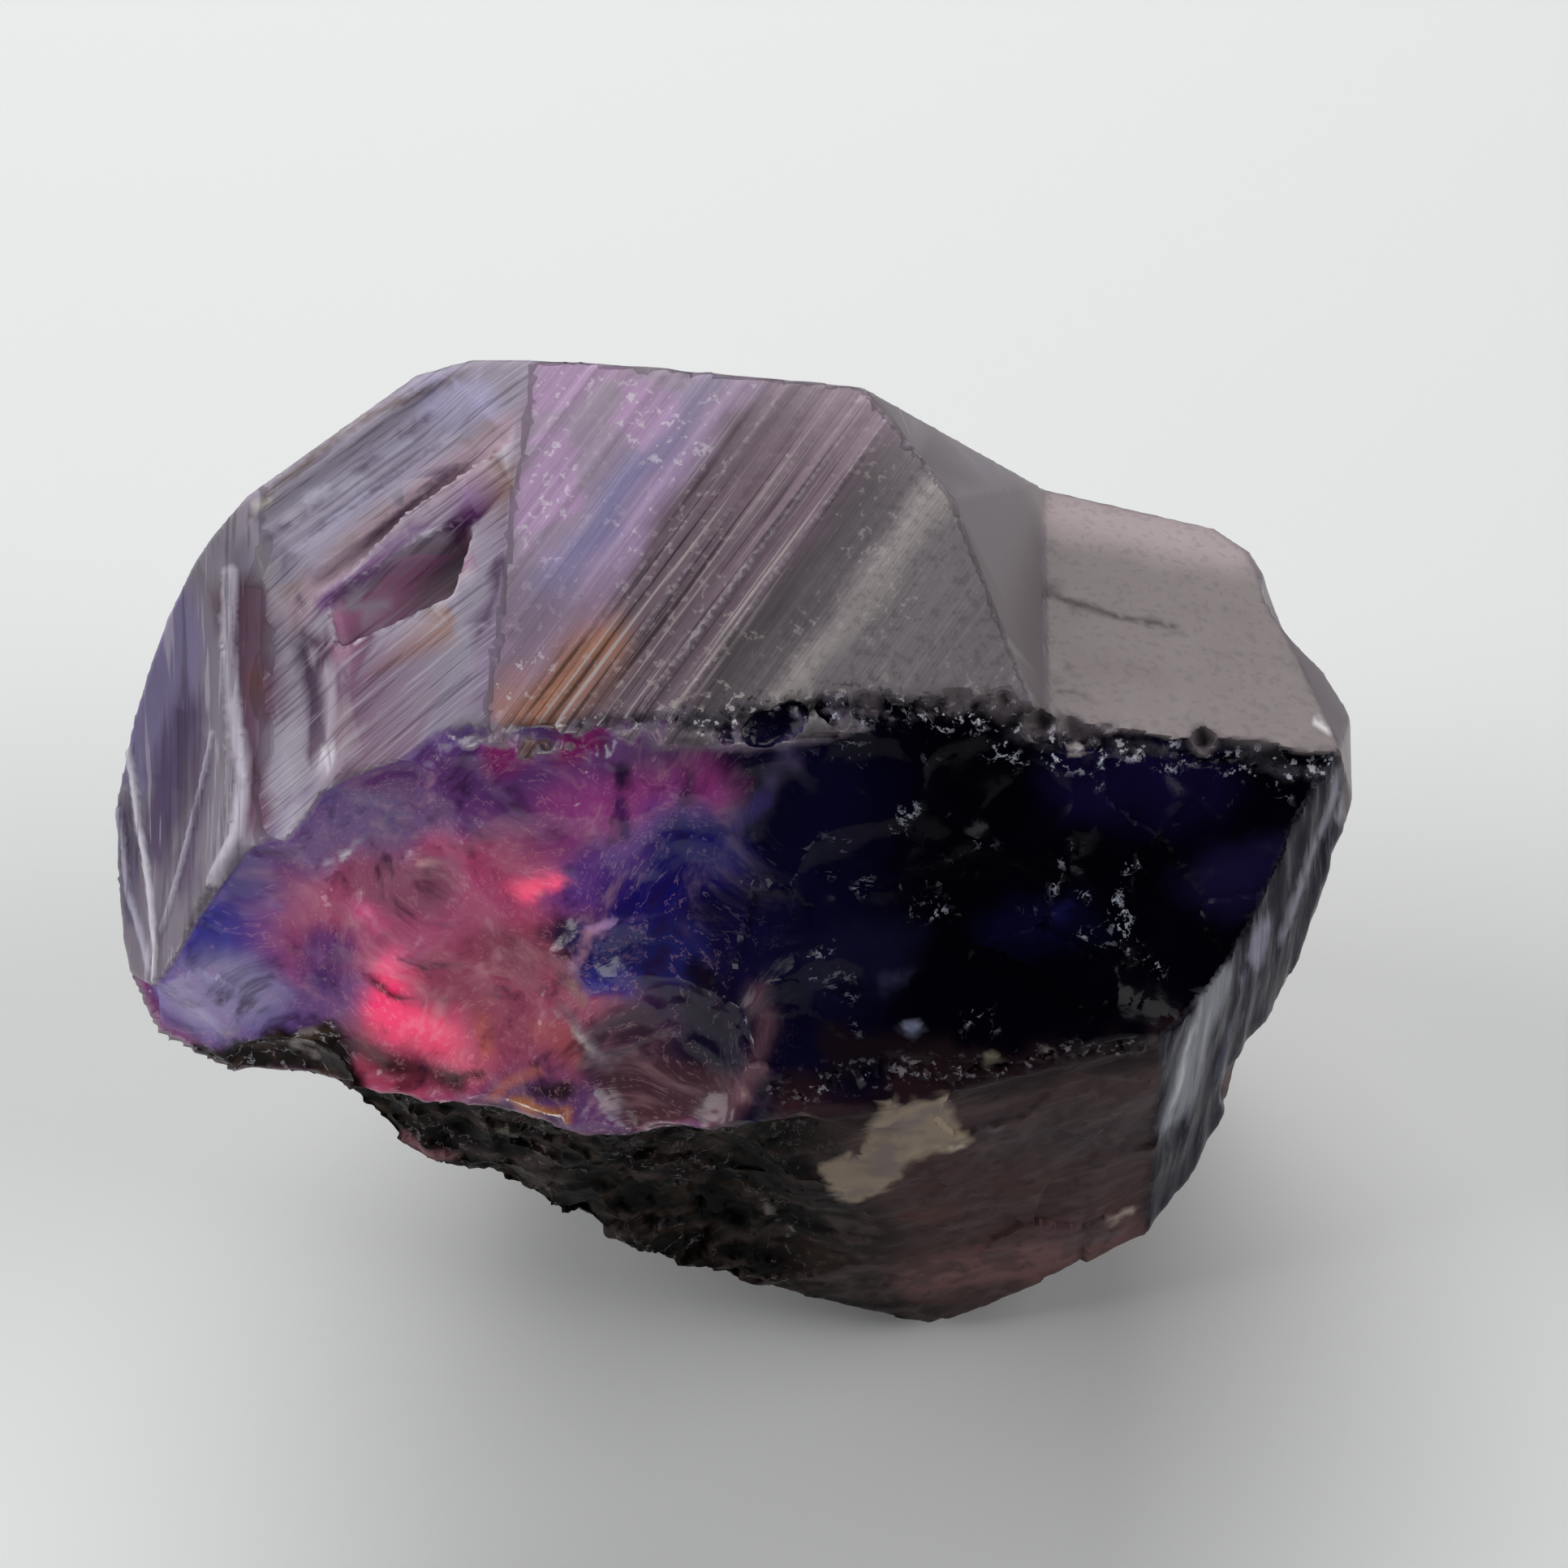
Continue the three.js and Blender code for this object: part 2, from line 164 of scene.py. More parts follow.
def kinds_of_face(spots, outs):
    """How far each point belongs to each kind of face."""
    right, back, up = spots.T
    lip = LIP_HEIGHT * ramp(-back, *LIP_FRONT) * ramp(right, *LIP_START)
    top = ramp(outs @ GROWTH[1], *GROWTH_LOOK) * ramp(height_over(GROWTH, spots) - lip, *GROWTH_DEPTH)
    growth = top * ramp(-height_over(RIM, spots), *RIM_DEPTH)
    shoulder = ramp(outs @ SHOULDER[1], *SHOULDER_LOOK) * ramp(right, *SHOULDER_START)
    chin = CHIN_HEIGHT
    for bend, rise in zip(CHIN_BENDS, CHIN_RISES):
        chin = chin + rise * np.maximum(0, right - bend)
    lower = ramp(chin - up, *CHIN_DEPTH)
    facing = np.maximum(ramp(-outs[:, 1], *FRONT_LOOK), ramp(-back, *BROW_FRONT) * ramp(right, *BROW_START))
    facing = facing * np.maximum(ramp(-back, *TOP_FRONT), ramp(-right, *TOP_END))
    side = np.maximum(height_over(LOWER_FACET, spots), height_over(UPPER_FACET, spots))
    narrow = ramp(side, *FACET_DEPTH) * ramp(outs[:, 0], *FACET_LOOK) * facing * (1 - growth) * (1 - shoulder)
    under_brow = ramp(np.interp(right, BROW_RIGHTS, BROW_HEIGHTS) - up, *BROW_DEPTH)
    fracture = under_brow * facing * (1 - lower) * (1 - growth) * (1 - narrow) * (1 - shoulder)
    terrace = (1 - growth) * (1 - fracture) * (1 - lower) * ramp(-right, *TERRACE_END)
    shares = (growth, terrace, fracture, shoulder, lower * (1 - narrow), narrow)
    return dict(zip(FACE_KINDS, shares))


# Marks are strokes: a colour, its cover, half a width in millimetres, the soft share of the width,
# and the places in the photograph that the stroke runs through, in pixels across and down. Each
# place is laid on the solid by the camera's ray, or if that misses, at the spot nearest to where it
# passes the stone. TINY keeps a stroke of no length from dividing by nothing.
STONE_DISTANCE = 25
TINY = 1e-9
FAR_AWAY = 1e3
corners_of_stone = [vertex.co / MM for vertex in solid.vertices]
packed_stone = BVHTree.FromPolygons(corners_of_stone, [face.vertices for face in solid.polygons])


def on_stone(place):
    """Where on the stone a place in the photograph lies."""
    middle = PHOTO_WIDTH_PIXELS / 2
    way = CAMERA_TURN @ Vector((place[0] - middle, middle - place[1], -FOCAL_LENGTH_PIXELS)).normalized()
    found = packed_stone.ray_cast(CAMERA_PLACE, way)[0]
    if found is None:
        found = packed_stone.find_nearest(CAMERA_PLACE + STONE_DISTANCE * way)[0]
    return np.array(found)


def distance_to(line, spots):
    """How far each point lies from a line through some corners."""
    nearest = np.full(len(spots), FAR_AWAY)
    for start, end in zip(line, line[1:]):
        away, run = spots - start, end - start
        share = np.clip(away @ run / max(run @ run, TINY), 0, 1)
        nearest = np.minimum(nearest, np.linalg.norm(away - share[:, None] * run, axis=1))
    return nearest


def brushed(spots, places, half, soft):
    """How far each point lies under a stroke: 1 along its middle, fading to 0 about its half width."""
    nearest = distance_to([on_stone(place) for place in places], spots)
    return ramp(-nearest, -half * (1 + soft), -half * (1 - soft))


def under_any(strokes, spots, widen=1.0):
    """How far each point lies under the nearest of some strokes, which may be widened."""
    covers = [brushed(spots, places, widen * half, soft) for _, _, half, soft, *places in strokes]
    return np.max(covers, axis=0)


# How far a chip leans and how far it steps out, as shares of its height, and two unlike numbers
# that give each chip its own lean and its own step.
CHIP_LEAN, CHIP_STEP = 1.6, 0.35
LEAN_SCRAMBLE, STEP_SCRAMBLE = 91.7, 57.3


def chips(point, height, size, seed):
    """Height of flat chips of about a size, each leaning its own way."""
    place = point / size + Vector((seed, seed, seed))
    centre = noise.voronoi(place)[1][0]
    lean = noise.cell_vector(centre * LEAN_SCRAMBLE) - Vector((0.5, 0.5, 0.5))
    step = noise.cell(centre * STEP_SCRAMBLE) - 0.5
    return height * (CHIP_LEAN * (place - centre).dot(lean) + CHIP_STEP * step)


# Fine growth steps of the growth face: how many to a millimetre across and along it, what the finer
# ones add, how many levels they snap to, and the height where strongest, on the left and all
# over. A start is counted across the face, and an end against that. The real ones are down to a
# hundredth of a millimetre wide, so they are drawn coarser.
STEPS_ACROSS = (9, 18, 27)
STEPS_ALONG = (0.15, 0.3, 0.5)
STEP_SEEDS = (0, 7, 13)
MIDDLE_SHARE, FINE_SHARE = 0.5, 0.4
STEP_LEVELS = 4
STRONG_STEP, LEFT_STEP, FAINT_STEP = 0.014, 0.008, 0.005
STRONG_START = (-1.66, -1.56)
STRONG_END = (0.62, 0.7)
LEFT_END = (2.0, 2.1)


def striae(point):
    """Height of the fine growth steps, which run up the face and change across it."""
    across = (point - Vector(GROWTH[0])).dot(Vector(ACROSS))
    along = (point - Vector(GROWTH[0])).dot(Vector(STRIATION))
    wide, middle, fine = (
        noise.noise(Vector((across * sideways, along * lengthways, seed)))
        for sideways, lengthways, seed in zip(STEPS_ACROSS, STEPS_ALONG, STEP_SEEDS)
    )
    step = math.floor(STEP_LEVELS * (wide + MIDDLE_SHARE * middle)) / STEP_LEVELS
    strong = ramp(across, *STRONG_START) * ramp(-across, *STRONG_END)
    left = ramp(-across, *LEFT_END)
    return (STRONG_STEP * strong + LEFT_STEP * left + FAINT_STEP) * (step + FINE_SHARE * fine)


# The crushed edges: along the brow and along the right of the chin the stone is broken to grains.
CRUSHED_EDGES = (
    ("#8c8094", 0.7, 0.05, 0.7, (560, 908), (650, 898), (750, 890), (840, 888)),
    ("#4c4a52", 0.9, 0.06, 0.8, (840, 892), (930, 882), (1000, 868), (1100, 868), (1200, 884), (1300, 910)),
    ("#48454e", 0.9, 0.05, 0.7, (1300, 912), (1380, 923), (1450, 933), (1550, 941), (1640, 945)),
    ("#1c1418", 0.7, 0.10, 0.7,
     (960, 1350), (1040, 1330), (1120, 1320), (1230, 1325), (1300, 1305), (1400, 1295)),
)
# Thin ridges between the curved flakes on the left end, raised a little, with painted highlights
# along their crests.
FLAKE_MARKS = (
    ("#d4ccdc", 1.0, 0.05, 0.4, (284, 705), (280, 790), (288, 880), (300, 960), (290, 1030), (262, 1085)),
    ("#aca6b8", 0.9, 0.03, 0.5, (262, 905), (240, 1000), (200, 1145)),
    ("#dcd8e4", 0.95, 0.03, 0.5, (158, 925), (172, 1020), (186, 1110), (190, 1210)),
    ("#b4aec4", 0.8, 0.03, 0.5, (146, 1000), (158, 1100), (184, 1195)),
    ("#b8b0bc", 0.7, 0.03, 0.5, (300, 905), (305, 960)),
)
RIDGE_HEIGHT = 0.02
# The band beside a crushed edge is blunted before its grains are broken out: how many half widths
# it reaches, how far under the edge's stroke it begins, and how many rounds of smoothing it gets.
BLUNT_REACH = 2.4
BLUNT_FROM = 0.3
BLUNT_ROUNDS = 16
# The fine breakage: the height, size and seed of each kind of chip, how deep it lies below the
# solid's faces, and how far any of it may stand out from them.
PLAIN_CHIPS, PLAIN_DEPTH = (0.05, 0.9, 3.0), 0.03
CRUST_CHIPS, CRUST_CRUMBS, CRUST_DEPTH = (0.05, 0.35, 11.0), (0.03, 0.15, 6.0), 0.03
GRAINS, FINE_GRAINS, GRAIN_DEPTH = (0.035, 0.15, 5.0), (0.03, 0.08, 8.0), 0.02
MOST_RAISED = 0.01
# Uneven ground of the broken faces, ripples of glassy ones, and lines and grain of the smooth
# ones: their height, how deep they lie, how many there are to a millimetre, and how they are
# layered, as the noise's falloff, its step to finer layers and their number.
UNEVEN, UNEVEN_PER_MM, UNEVEN_LAYERS = 0.03, 2.4, (0.8, 2.2, 5)
RIPPLE, RIPPLES_PER_MM, RIPPLE_BENDS_PER_MM = 0.05, 2.1, 0.9
GROWTH_DEEP = 0.01
FACET_LINE, FACET_DEEP, FACET_LINES_PER_MM = 0.03, 0.02, np.array((9, 9, 1.5))
SHOULDER_GRAIN, SHOULDER_DEEP, SHOULDER_PER_MM, SHOULDER_LAYERS = 0.012, 0.01, 3, (0.9, 2.2, 4)
# Where the underside's crust and the glassy left of the front end, counted to the left.
CRUST_END = (-0.9, -0.2)
GLASSY_END = (-0.4, 0.6)

spots, outs = points_of(stone.data)
masks = kinds_of_face(spots, outs)
masks["crushed"] = under_any(CRUSHED_EDGES, spots)
for name, values in masks.items():
    stone.data.attributes.new(name, "FLOAT", "POINT").data.foreach_set("value", values)
shell = bmesh.new()
shell.from_mesh(stone.data)
shell.verts.ensure_lookup_table()
beside = under_any(CRUSHED_EDGES, spots, BLUNT_REACH)
blunt_verts = [shell.verts[i] for i in np.nonzero(beside > BLUNT_FROM)[0]]
every_way = {"use_axis_x": True, "use_axis_y": True, "use_axis_z": True}
for _ in range(BLUNT_ROUNDS):
    bmesh.ops.smooth_vert(shell, verts=blunt_verts, factor=0.5, **every_way)
shell.to_mesh(stone.data)
shell.free()

spots, outs = points_of(stone.data)
broken = np.maximum(masks["fracture"], masks["lower"])
crust = masks["lower"] * ramp(-spots[:, 0], *CRUST_END)
glassy = masks["fracture"] * ramp(-spots[:, 0], *GLASSY_END)
move = np.zeros(len(spots))
for i in np.nonzero(np.maximum(broken, masks["crushed"]) > 0)[0]:
    point = Vector(spots[i])
    full = 0.5 + 0.5 * max(crust[i], glassy[i])
    crumb = chips(point, *PLAIN_CHIPS) - PLAIN_DEPTH
    crumb += full * UNEVEN * noise.fractal(point * UNEVEN_PER_MM, *UNEVEN_LAYERS)
    if crust[i] > 0:
        crumb += crust[i] * (chips(point, *CRUST_CHIPS) + chips(point, *CRUST_CRUMBS) - CRUST_DEPTH)
    if glassy[i] > 0:
        bend = noise.noise_vector(point * RIPPLE_BENDS_PER_MM)
        crumb -= glassy[i] * RIPPLE * abs(noise.noise(point * RIPPLES_PER_MM + bend))
    move[i] = broken[i] * min(MOST_RAISED, crumb)
    if masks["crushed"][i] > 0:
        move[i] += masks["crushed"][i] * (chips(point, *GRAINS) + chips(point, *FINE_GRAINS) - GRAIN_DEPTH)
for i in np.nonzero(masks["growth"] > 0)[0]:
    move[i] += masks["growth"][i] * min(MOST_RAISED, striae(Vector(spots[i])) - GROWTH_DEEP)
for i in np.nonzero(masks["narrow"] > 0)[0]:
    up_lines = noise.noise(Vector(spots[i] * FACET_LINES_PER_MM))
    move[i] += masks["narrow"][i] * (FACET_LINE * up_lines - FACET_DEEP)
for i in np.nonzero(masks["shoulder"] > 0)[0]:
    grain = noise.fractal(Vector(spots[i]) * SHOULDER_PER_MM, *SHOULDER_LAYERS)
    move[i] += masks["shoulder"][i] * (SHOULDER_GRAIN * grain - SHOULDER_DEEP)
for _, _, half, soft, *places in FLAKE_MARKS:
    move += RIDGE_HEIGHT * brushed(spots, places, half, soft) * (1 - broken)
spots += outs * move[:, None]
stone.data.vertices.foreach_set("co", (spots * MM).ravel())
stone.data.update()
thin = stone.modifiers.new("thin", "DECIMATE")
thin.ratio = MOST_TRIANGLES / (2 * len(stone.data.polygons))
stone.data = with_modifiers(stone)
skin = stone.data
skin.polygons.foreach_set("use_smooth", [True] * len(skin.polygons))
skin.set_sharp_from_angle(angle=math.radians(SHARP_FROM_DEGREES))


def linear(code):
    """An sRGB hex colour as the linear colour that a shader takes."""
    parts = [int(code[i : i + 2], 16) / 255 for i in (1, 3, 5)]
    return [c / 12.92 if c <= 0.04045 else ((c + 0.055) / 1.055) ** 2.4 for c in parts] + [1.0]


# The colour zones of the stone, laid over each other as strokes. Chromium makes the pink, iron
# and titanium the blue, and where both are dense the stone is nearly black.
# The front: broad zones first, then where light from behind comes through reddest.
FRONT_COLOURS = (
    ("#0d0a2a", 0.9, 0.77, 0.6, (960, 1000), (930, 1330)),
    ("#5350b0", 1.0, 0.65, 0.5, (250, 1180), (430, 1150)),
    ("#5f5494", 1.0, 0.48, 0.5, (330, 1050), (600, 950)),
    ("#c06088", 1.0, 0.77, 0.5, (450, 1150), (640, 1130)),
    ("#6a3c7c", 0.95, 0.32, 0.6, (470, 975), (620, 965), (720, 990)),
    ("#8a1c68", 0.9, 0.13, 0.8, (610, 928), (740, 918)),
    ("#a0448c", 0.9, 0.23, 0.7, (690, 1005), (800, 1000), (870, 985)),
    ("#6a4098", 0.95, 0.27, 0.6, (700, 1100), (840, 1030)),
    ("#b84c6a", 1.0, 0.48, 0.5, (500, 1300), (640, 1220)),
    ("#b05a76", 0.9, 0.39, 0.6, (580, 1240), (700, 1270)),
    ("#8a5064", 0.7, 0.17, 0.7, (600, 1170), (690, 1200)),
    ("#c04c7c", 0.7, 0.29, 0.7, (560, 1080), (620, 1100)),
    ("#98647c", 0.7, 0.19, 0.7, (470, 1090), (540, 1090)),
    ("#8474a4", 0.8, 0.23, 0.8, (395, 1045), (470, 1020)),
    ("#b0a6cc", 0.9, 0.28, 0.6, (300, 1225), (230, 1225)),
    ("#7c5c98", 0.8, 0.23, 0.6, (370, 1240), (420, 1230)),
    ("#3c3484", 0.7, 0.17, 0.6, (400, 1160), (390, 1190)),
    ("#19126c", 1.0, 0.35, 0.5, (860, 1050), (800, 1120)),
    ("#140f3c", 0.9, 0.32, 0.6, (900, 1130), (880, 1200)),
    ("#242468", 1.0, 0.27, 0.4, (740, 1180), (840, 1190)),
    ("#403c98", 0.8, 0.14, 0.6, (730, 1215), (760, 1220)),
    ("#20143c", 0.9, 0.15, 0.5, (690, 1170), (700, 1165)),
    ("#4a3044", 1.0, 0.36, 0.4, (770, 1290), (800, 1330)),
    ("#150c2a", 1.0, 0.28, 0.5, (870, 1240), (890, 1300)),
    ("#5c3c44", 0.9, 0.23, 0.5, (800, 1350), (860, 1345)),
    ("#d87858", 0.7, 0.10, 0.7, (590, 1250), (600, 1270)),
    ("#c86860", 0.6, 0.12, 0.7, (670, 1275), (700, 1290)),
    ("#b87840", 0.9, 0.08, 0.5, (640, 1375), (720, 1383)),
)
HOT_SPOTS = (
    ("#e0488c", 0.8, 0.10, 0.8, (452, 1135), (462, 1142)),
    ("#f0648c", 0.7, 0.13, 0.8, (472, 1192), (484, 1205)),
    ("#ff4078", 1.0, 0.22, 0.7, (478, 1240), (520, 1262)),
    ("#cc6078", 0.6, 0.21, 0.9, (545, 1272), (565, 1300)),
    ("#ff5c80", 0.9, 0.12, 0.7, (640, 1102), (672, 1080)),
)
# Cracks, veins and small bright sparkles of the front left, the sparkles painted glints, and the rim
# and arcs of the shell below them.
FRONT_MARKS = (
    ("#38101c", 0.9, 0.03, 0.5, (445, 1198), (480, 1225), (515, 1240), (545, 1236)),
    ("#3c1c28", 0.9, 0.03, 0.5, (610, 1188), (650, 1182), (700, 1178)),
    ("#2c1418", 0.9, 0.09, 0.6, (400, 1272), (470, 1312), (560, 1335)),
    ("#34181c", 0.8, 0.05, 0.6, (490, 1340), (590, 1325)),
    ("#1c0c0a", 0.9, 0.08, 0.5, (650, 1350), (700, 1345)),
    ("#1a0a38", 0.9, 0.06, 0.5, (766, 950), (768, 962)),
    ("#301458", 0.8, 0.05, 0.6, (764, 988), (772, 1035)),
    ("#241040", 0.8, 0.06, 0.6, (840, 1000), (850, 960)),
    ("#f4f0f6", 1.0, 0.03, 0.3, (402, 1067), (420, 1059), (442, 1036)),
    ("#b08cc8", 0.9, 0.03, 0.5, (725, 1146), (760, 1136), (800, 1133)),
    ("#a07898", 0.8, 0.04, 0.5, (725, 1150), (718, 1175), (700, 1200)),
    ("#8c7c8a", 0.8, 0.04, 0.6, (690, 1240), (725, 1285), (755, 1322), (788, 1358)),
    ("#c0b0b0", 0.95, 0.02, 0.5, (684, 1248), (720, 1285), (750, 1325), (790, 1372)),
    ("#8c7468", 0.7, 0.05, 0.6, (702, 1215), (715, 1240)),
    ("#c07068", 0.8, 0.05, 0.6, (600, 1365), (625, 1335), (660, 1320)),
    ("#ffd0d0", 0.9, 0.05, 0.8, (518, 1065), (526, 1067)),
    ("#f0b0b8", 0.9, 0.03, 0.8, (562, 1046), (578, 1042)),
    ("#ffc8c0", 0.9, 0.03, 0.8, (636, 1043), (642, 1045)),
    ("#f0c0f0", 0.9, 0.03, 0.7, (862, 1004), (870, 999)),
    ("#b8b4e0", 0.8, 0.03, 0.6, (250, 1205), (300, 1225), (345, 1250)),
    ("#a8a4d8", 0.7, 0.03, 0.6, (290, 1195), (340, 1215), (370, 1240)),
    ("#8c84c4", 0.6, 0.03, 0.6, (300, 1110), (345, 1120)),
)
# On the shell the pale line along the rim is a painted highlight, the small pale specks are painted glints,
# and the near-black spots are holes painted dark with the shade inside them.
SHELL_ARCS = (
    ("#74505c", 0.8, 0.10, 0.8, (932, 1225), (946, 1268), (934, 1312), (902, 1355), (880, 1380)),
    ("#a07c88", 0.9, 0.03, 0.6, (945, 1230), (962, 1272), (944, 1316), (910, 1358)),
    ("#e0c0b4", 1.0, 0.03, 0.6, (912, 1350), (918, 1344)),
    ("#84606e", 0.85, 0.03, 0.7, (792, 1212), (802, 1245), (822, 1272), (846, 1300), (852, 1335)),
    ("#7e5666", 0.8, 0.03, 0.7, (757, 1225), (761, 1255), (750, 1290)),
    ("#0e081c", 0.9, 0.03, 0.6, (812, 1256), (858, 1272), (895, 1292)),
    ("#06040e", 1.0, 0.09, 0.6, (852, 1192), (866, 1205)),
    ("#140e26", 0.8, 0.05, 0.6, (898, 1278), (915, 1272)),
    ("#c8c8dc", 1.0, 0.02, 0.6, (874, 1210), (878, 1212)),
    ("#6a4c68", 0.8, 0.04, 0.7, (838, 1145), (858, 1170), (874, 1186)),
    ("#604654", 0.7, 0.09, 0.8, (820, 1345), (870, 1350)),
)
# The dark right of the front: blue depths and pale scuffs.
DARK_FRONT_MARKS = (
    ("#150e36", 0.9, 0.26, 0.9, (1330, 965), (1480, 965)),
    ("#1e173e", 0.9, 0.26, 0.7, (1500, 1095), (1570, 1080)),
    ("#0e0c30", 0.8, 0.17, 0.9, (1240, 1150), (1330, 1130)),
    ("#24286c", 0.7, 0.06, 0.7, (1300, 1133), (1322, 1122)),
    ("#15132e", 0.9, 0.26, 0.6, (1010, 1210), (1090, 1180)),
    ("#484868", 0.6, 0.09, 0.6, (1100, 1205), (1125, 1195)),
    ("#8488a4", 0.9, 0.05, 0.5, (1115, 1260), (1120, 1263)),
    ("#5c5078", 0.5, 0.08, 0.8, (950, 960), (985, 890)),
    ("#3c2c74", 0.8, 0.09, 0.6, (920, 1010), (950, 980)),
    ("#1e1418", 0.8, 0.16, 0.6, (1030, 1290), (1150, 1300)),
)
# Patches of small bright glints. They take the face's pale colour, so each begins with its cover.
GLINTS = (
    (0.8, 0.14, 0.9, (850, 905), (950, 898), (1100, 895), (1250, 915), (1330, 935)),
    (0.8, 0.08, 0.9, (1330, 935), (1450, 950), (1560, 965), (1640, 965)),
    (0.9, 0.12, 0.7, (1135, 1125), (1185, 1152)),
    (0.9, 0.13, 0.7, (1250, 1110), (1320, 1075)),
    (1.0, 0.15, 0.7, (1340, 1060), (1378, 1120)),
    (1.0, 0.12, 0.6, (1392, 1050), (1430, 1085)),
    (0.7, 0.15, 0.8, (1110, 1012), (1190, 1035)),
    (0.8, 0.10, 0.6, (1190, 1243), (1240, 1262)),
    (0.8, 0.13, 0.7, (1395, 1140), (1430, 1170)),
    (0.7, 0.12, 0.7, (1035, 1055), (1050, 1085)),
    (0.6, 0.10, 0.6, (1440, 1150), (1470, 1240)),
    (0.8, 0.09, 0.6, (1310, 1150), (1350, 1175)),
    (0.7, 0.09, 0.7, (1482, 950), (1500, 985)),
    (0.6, 0.15, 0.8, (1020, 1190), (1090, 1250)),
)
# The chin and the underside. The wedge is dark crust that reaches up into the front on the left.
WEDGE = (
    ("#1a100e", 1.0, 0.26, 0.2, (270, 1312), (320, 1302), (385, 1298), (428, 1338)),
    ("#1c1210", 1.0, 0.28, 0.2, (290, 1318), (380, 1325), (440, 1355)),
)
CHIN_MARKS = (
    ("#a89c98", 0.9, 0.03, 0.5, (366, 1265), (375, 1300), (400, 1330)),
    ("#8c8490", 0.7, 0.03, 0.6, (255, 1290), (290, 1268), (350, 1258)),
    ("#8c8080", 0.7, 0.03, 0.6, (290, 1320), (380, 1332), (438, 1358)),
    ("#b09c9c", 0.7, 0.03, 0.6, (408, 1340), (448, 1362), (470, 1372)),
    ("#48302e", 0.8, 0.06, 0.7, (330, 1300), (358, 1330)),
    ("#2a1a20", 0.95, 0.22, 0.5, (1120, 1330), (1230, 1340), (1440, 1290)),
    ("#3c242a", 0.9, 0.25, 0.5, (980, 1370), (1050, 1390)),
    ("#8c8474", 0.9, 0.04, 0.4, (1218, 1335), (1232, 1305)),
    ("#80707c", 0.9, 0.06, 0.4, (1270, 1322), (1290, 1312)),
    ("#9c9490", 0.9, 0.06, 0.4, (1280, 1300), (1284, 1302)),
    ("#d0ccc8", 1.0, 0.03, 0.3, (1300, 1308), (1312, 1310)),
    ("#4c4a4c", 0.8, 0.06, 0.5, (1395, 1290), (1420, 1285)),
)
LOWER_RIGHT = (
    ("#5c5055", 0.9, 0.45, 0.7, (1250, 1400), (1420, 1390)),
    ("#aa7a7a", 0.9, 0.39, 0.7, (1150, 1575), (1330, 1540)),
    ("#3c2c26", 0.9, 0.26, 0.7, (1010, 1560), (1090, 1550)),
    ("#6c5660", 0.8, 0.19, 0.7, (1300, 1530), (1350, 1520)),
    ("#24222e", 0.9, 0.23, 0.6, (1455, 1430), (1443, 1480)),
    ("#e0c8bc", 1.0, 0.06, 0.5, (1372, 1512), (1398, 1500)),
    ("#8c8488", 0.7, 0.05, 0.6, (1330, 1530), (1370, 1525)),
)
UNDERSIDE_LEFT = (
    ("#b88088", 0.9, 0.06, 0.7, (490, 1410), (525, 1427), (550, 1435)),
    ("#7c6c72", 0.8, 0.06, 0.7, (545, 1400), (575, 1425)),
    ("#5c5250", 0.7, 0.08, 0.8, (620, 1440), (700, 1470)),
    ("#b0a8a4", 0.9, 0.03, 0.5, (860, 1440), (905, 1460), (945, 1490), (975, 1530)),
    ("#b0a888", 0.8, 0.03, 0.6, (620, 1395), (640, 1420), (665, 1440)),
    ("#0c0806", 0.9, 0.08, 0.6, (560, 1400), (640, 1402)),
    ("#0c0806", 0.8, 0.10, 0.7, (700, 1500), (800, 1540), (870, 1570)),
    ("#443230", 0.7, 0.09, 0.7, (960, 1400), (1000, 1420)),
)
# A beige patch on the chin: its outline and soft edge in the photograph's pixels, and its marks.
BEIGE_PATCH = (
    (1073, 1385), (1095, 1357), (1108, 1368), (1128, 1352), (1145, 1363), (1165, 1348), (1175, 1375),
    (1189, 1412), (1150, 1424), (1118, 1430), (1105, 1455), (1085, 1470), (1055, 1483), (1033, 1476),
    (1015, 1455), (1005, 1440), (1025, 1432), (1045, 1420), (1063, 1424), (1068, 1405),
)
BEIGE_PATCH_EDGE_PIXELS = 2.3
PATCH_MARKS = (
    ("#d0c4ac", 0.9, 0.03, 0.6, (1120, 1426), (1150, 1420), (1186, 1414)),
    ("#c0b094", 0.8, 0.02, 0.6, (1162, 1350), (1178, 1385), (1188, 1408)),
    ("#d0c4b4", 0.9, 0.02, 0.6, (1096, 1358), (1104, 1366)),
    ("#b4a698", 0.8, 0.03, 0.6, (1070, 1400), (1064, 1424)),
    ("#2a181a", 0.9, 0.10, 0.7, (1035, 1385), (1050, 1400), (1020, 1405)),
    ("#b08c84", 0.9, 0.03, 0.6, (985, 1392), (992, 1378)),
    ("#5c5058", 0.8, 0.06, 0.8, (965, 1432), (1000, 1440)),
    ("#54342e", 0.8, 0.12, 0.8, (1120, 1505), (1165, 1500)),
    ("#7c7078", 0.8, 0.03, 0.7, (1215, 1393), (1222, 1396)),
)
# The narrow facets at the right end, with pale grey streaks of painted sheen where they catch the
# light, and the low shoulder above them.
NARROW_FACETS = (
    ("#9698a2", 1.0, 0.19, 0.35, (1500, 1215), (1475, 1290), (1452, 1375)),
    ("#9694a4", 1.0, 0.06, 0.5, (1655, 950), (1636, 1020), (1612, 1070), (1594, 1120), (1583, 1150)),
    ("#c0bcc8", 0.9, 0.06, 0.5, (1660, 960), (1655, 1010)),
    ("#9a96ac", 1.0, 0.12, 0.35, (1556, 1150), (1545, 1195)),
    ("#14102e", 0.95, 0.06, 0.4, (1500, 1165), (1530, 1185), (1560, 1225)),
    ("#d4d8e0", 0.9, 0.03, 0.5, (1484, 1200), (1462, 1300), (1446, 1370)),
    ("#50526a", 0.7, 0.04, 0.6, (1520, 1260), (1500, 1330)),
    ("#9aa4b8", 0.8, 0.04, 0.5, (1470, 1230), (1478, 1180)),
)
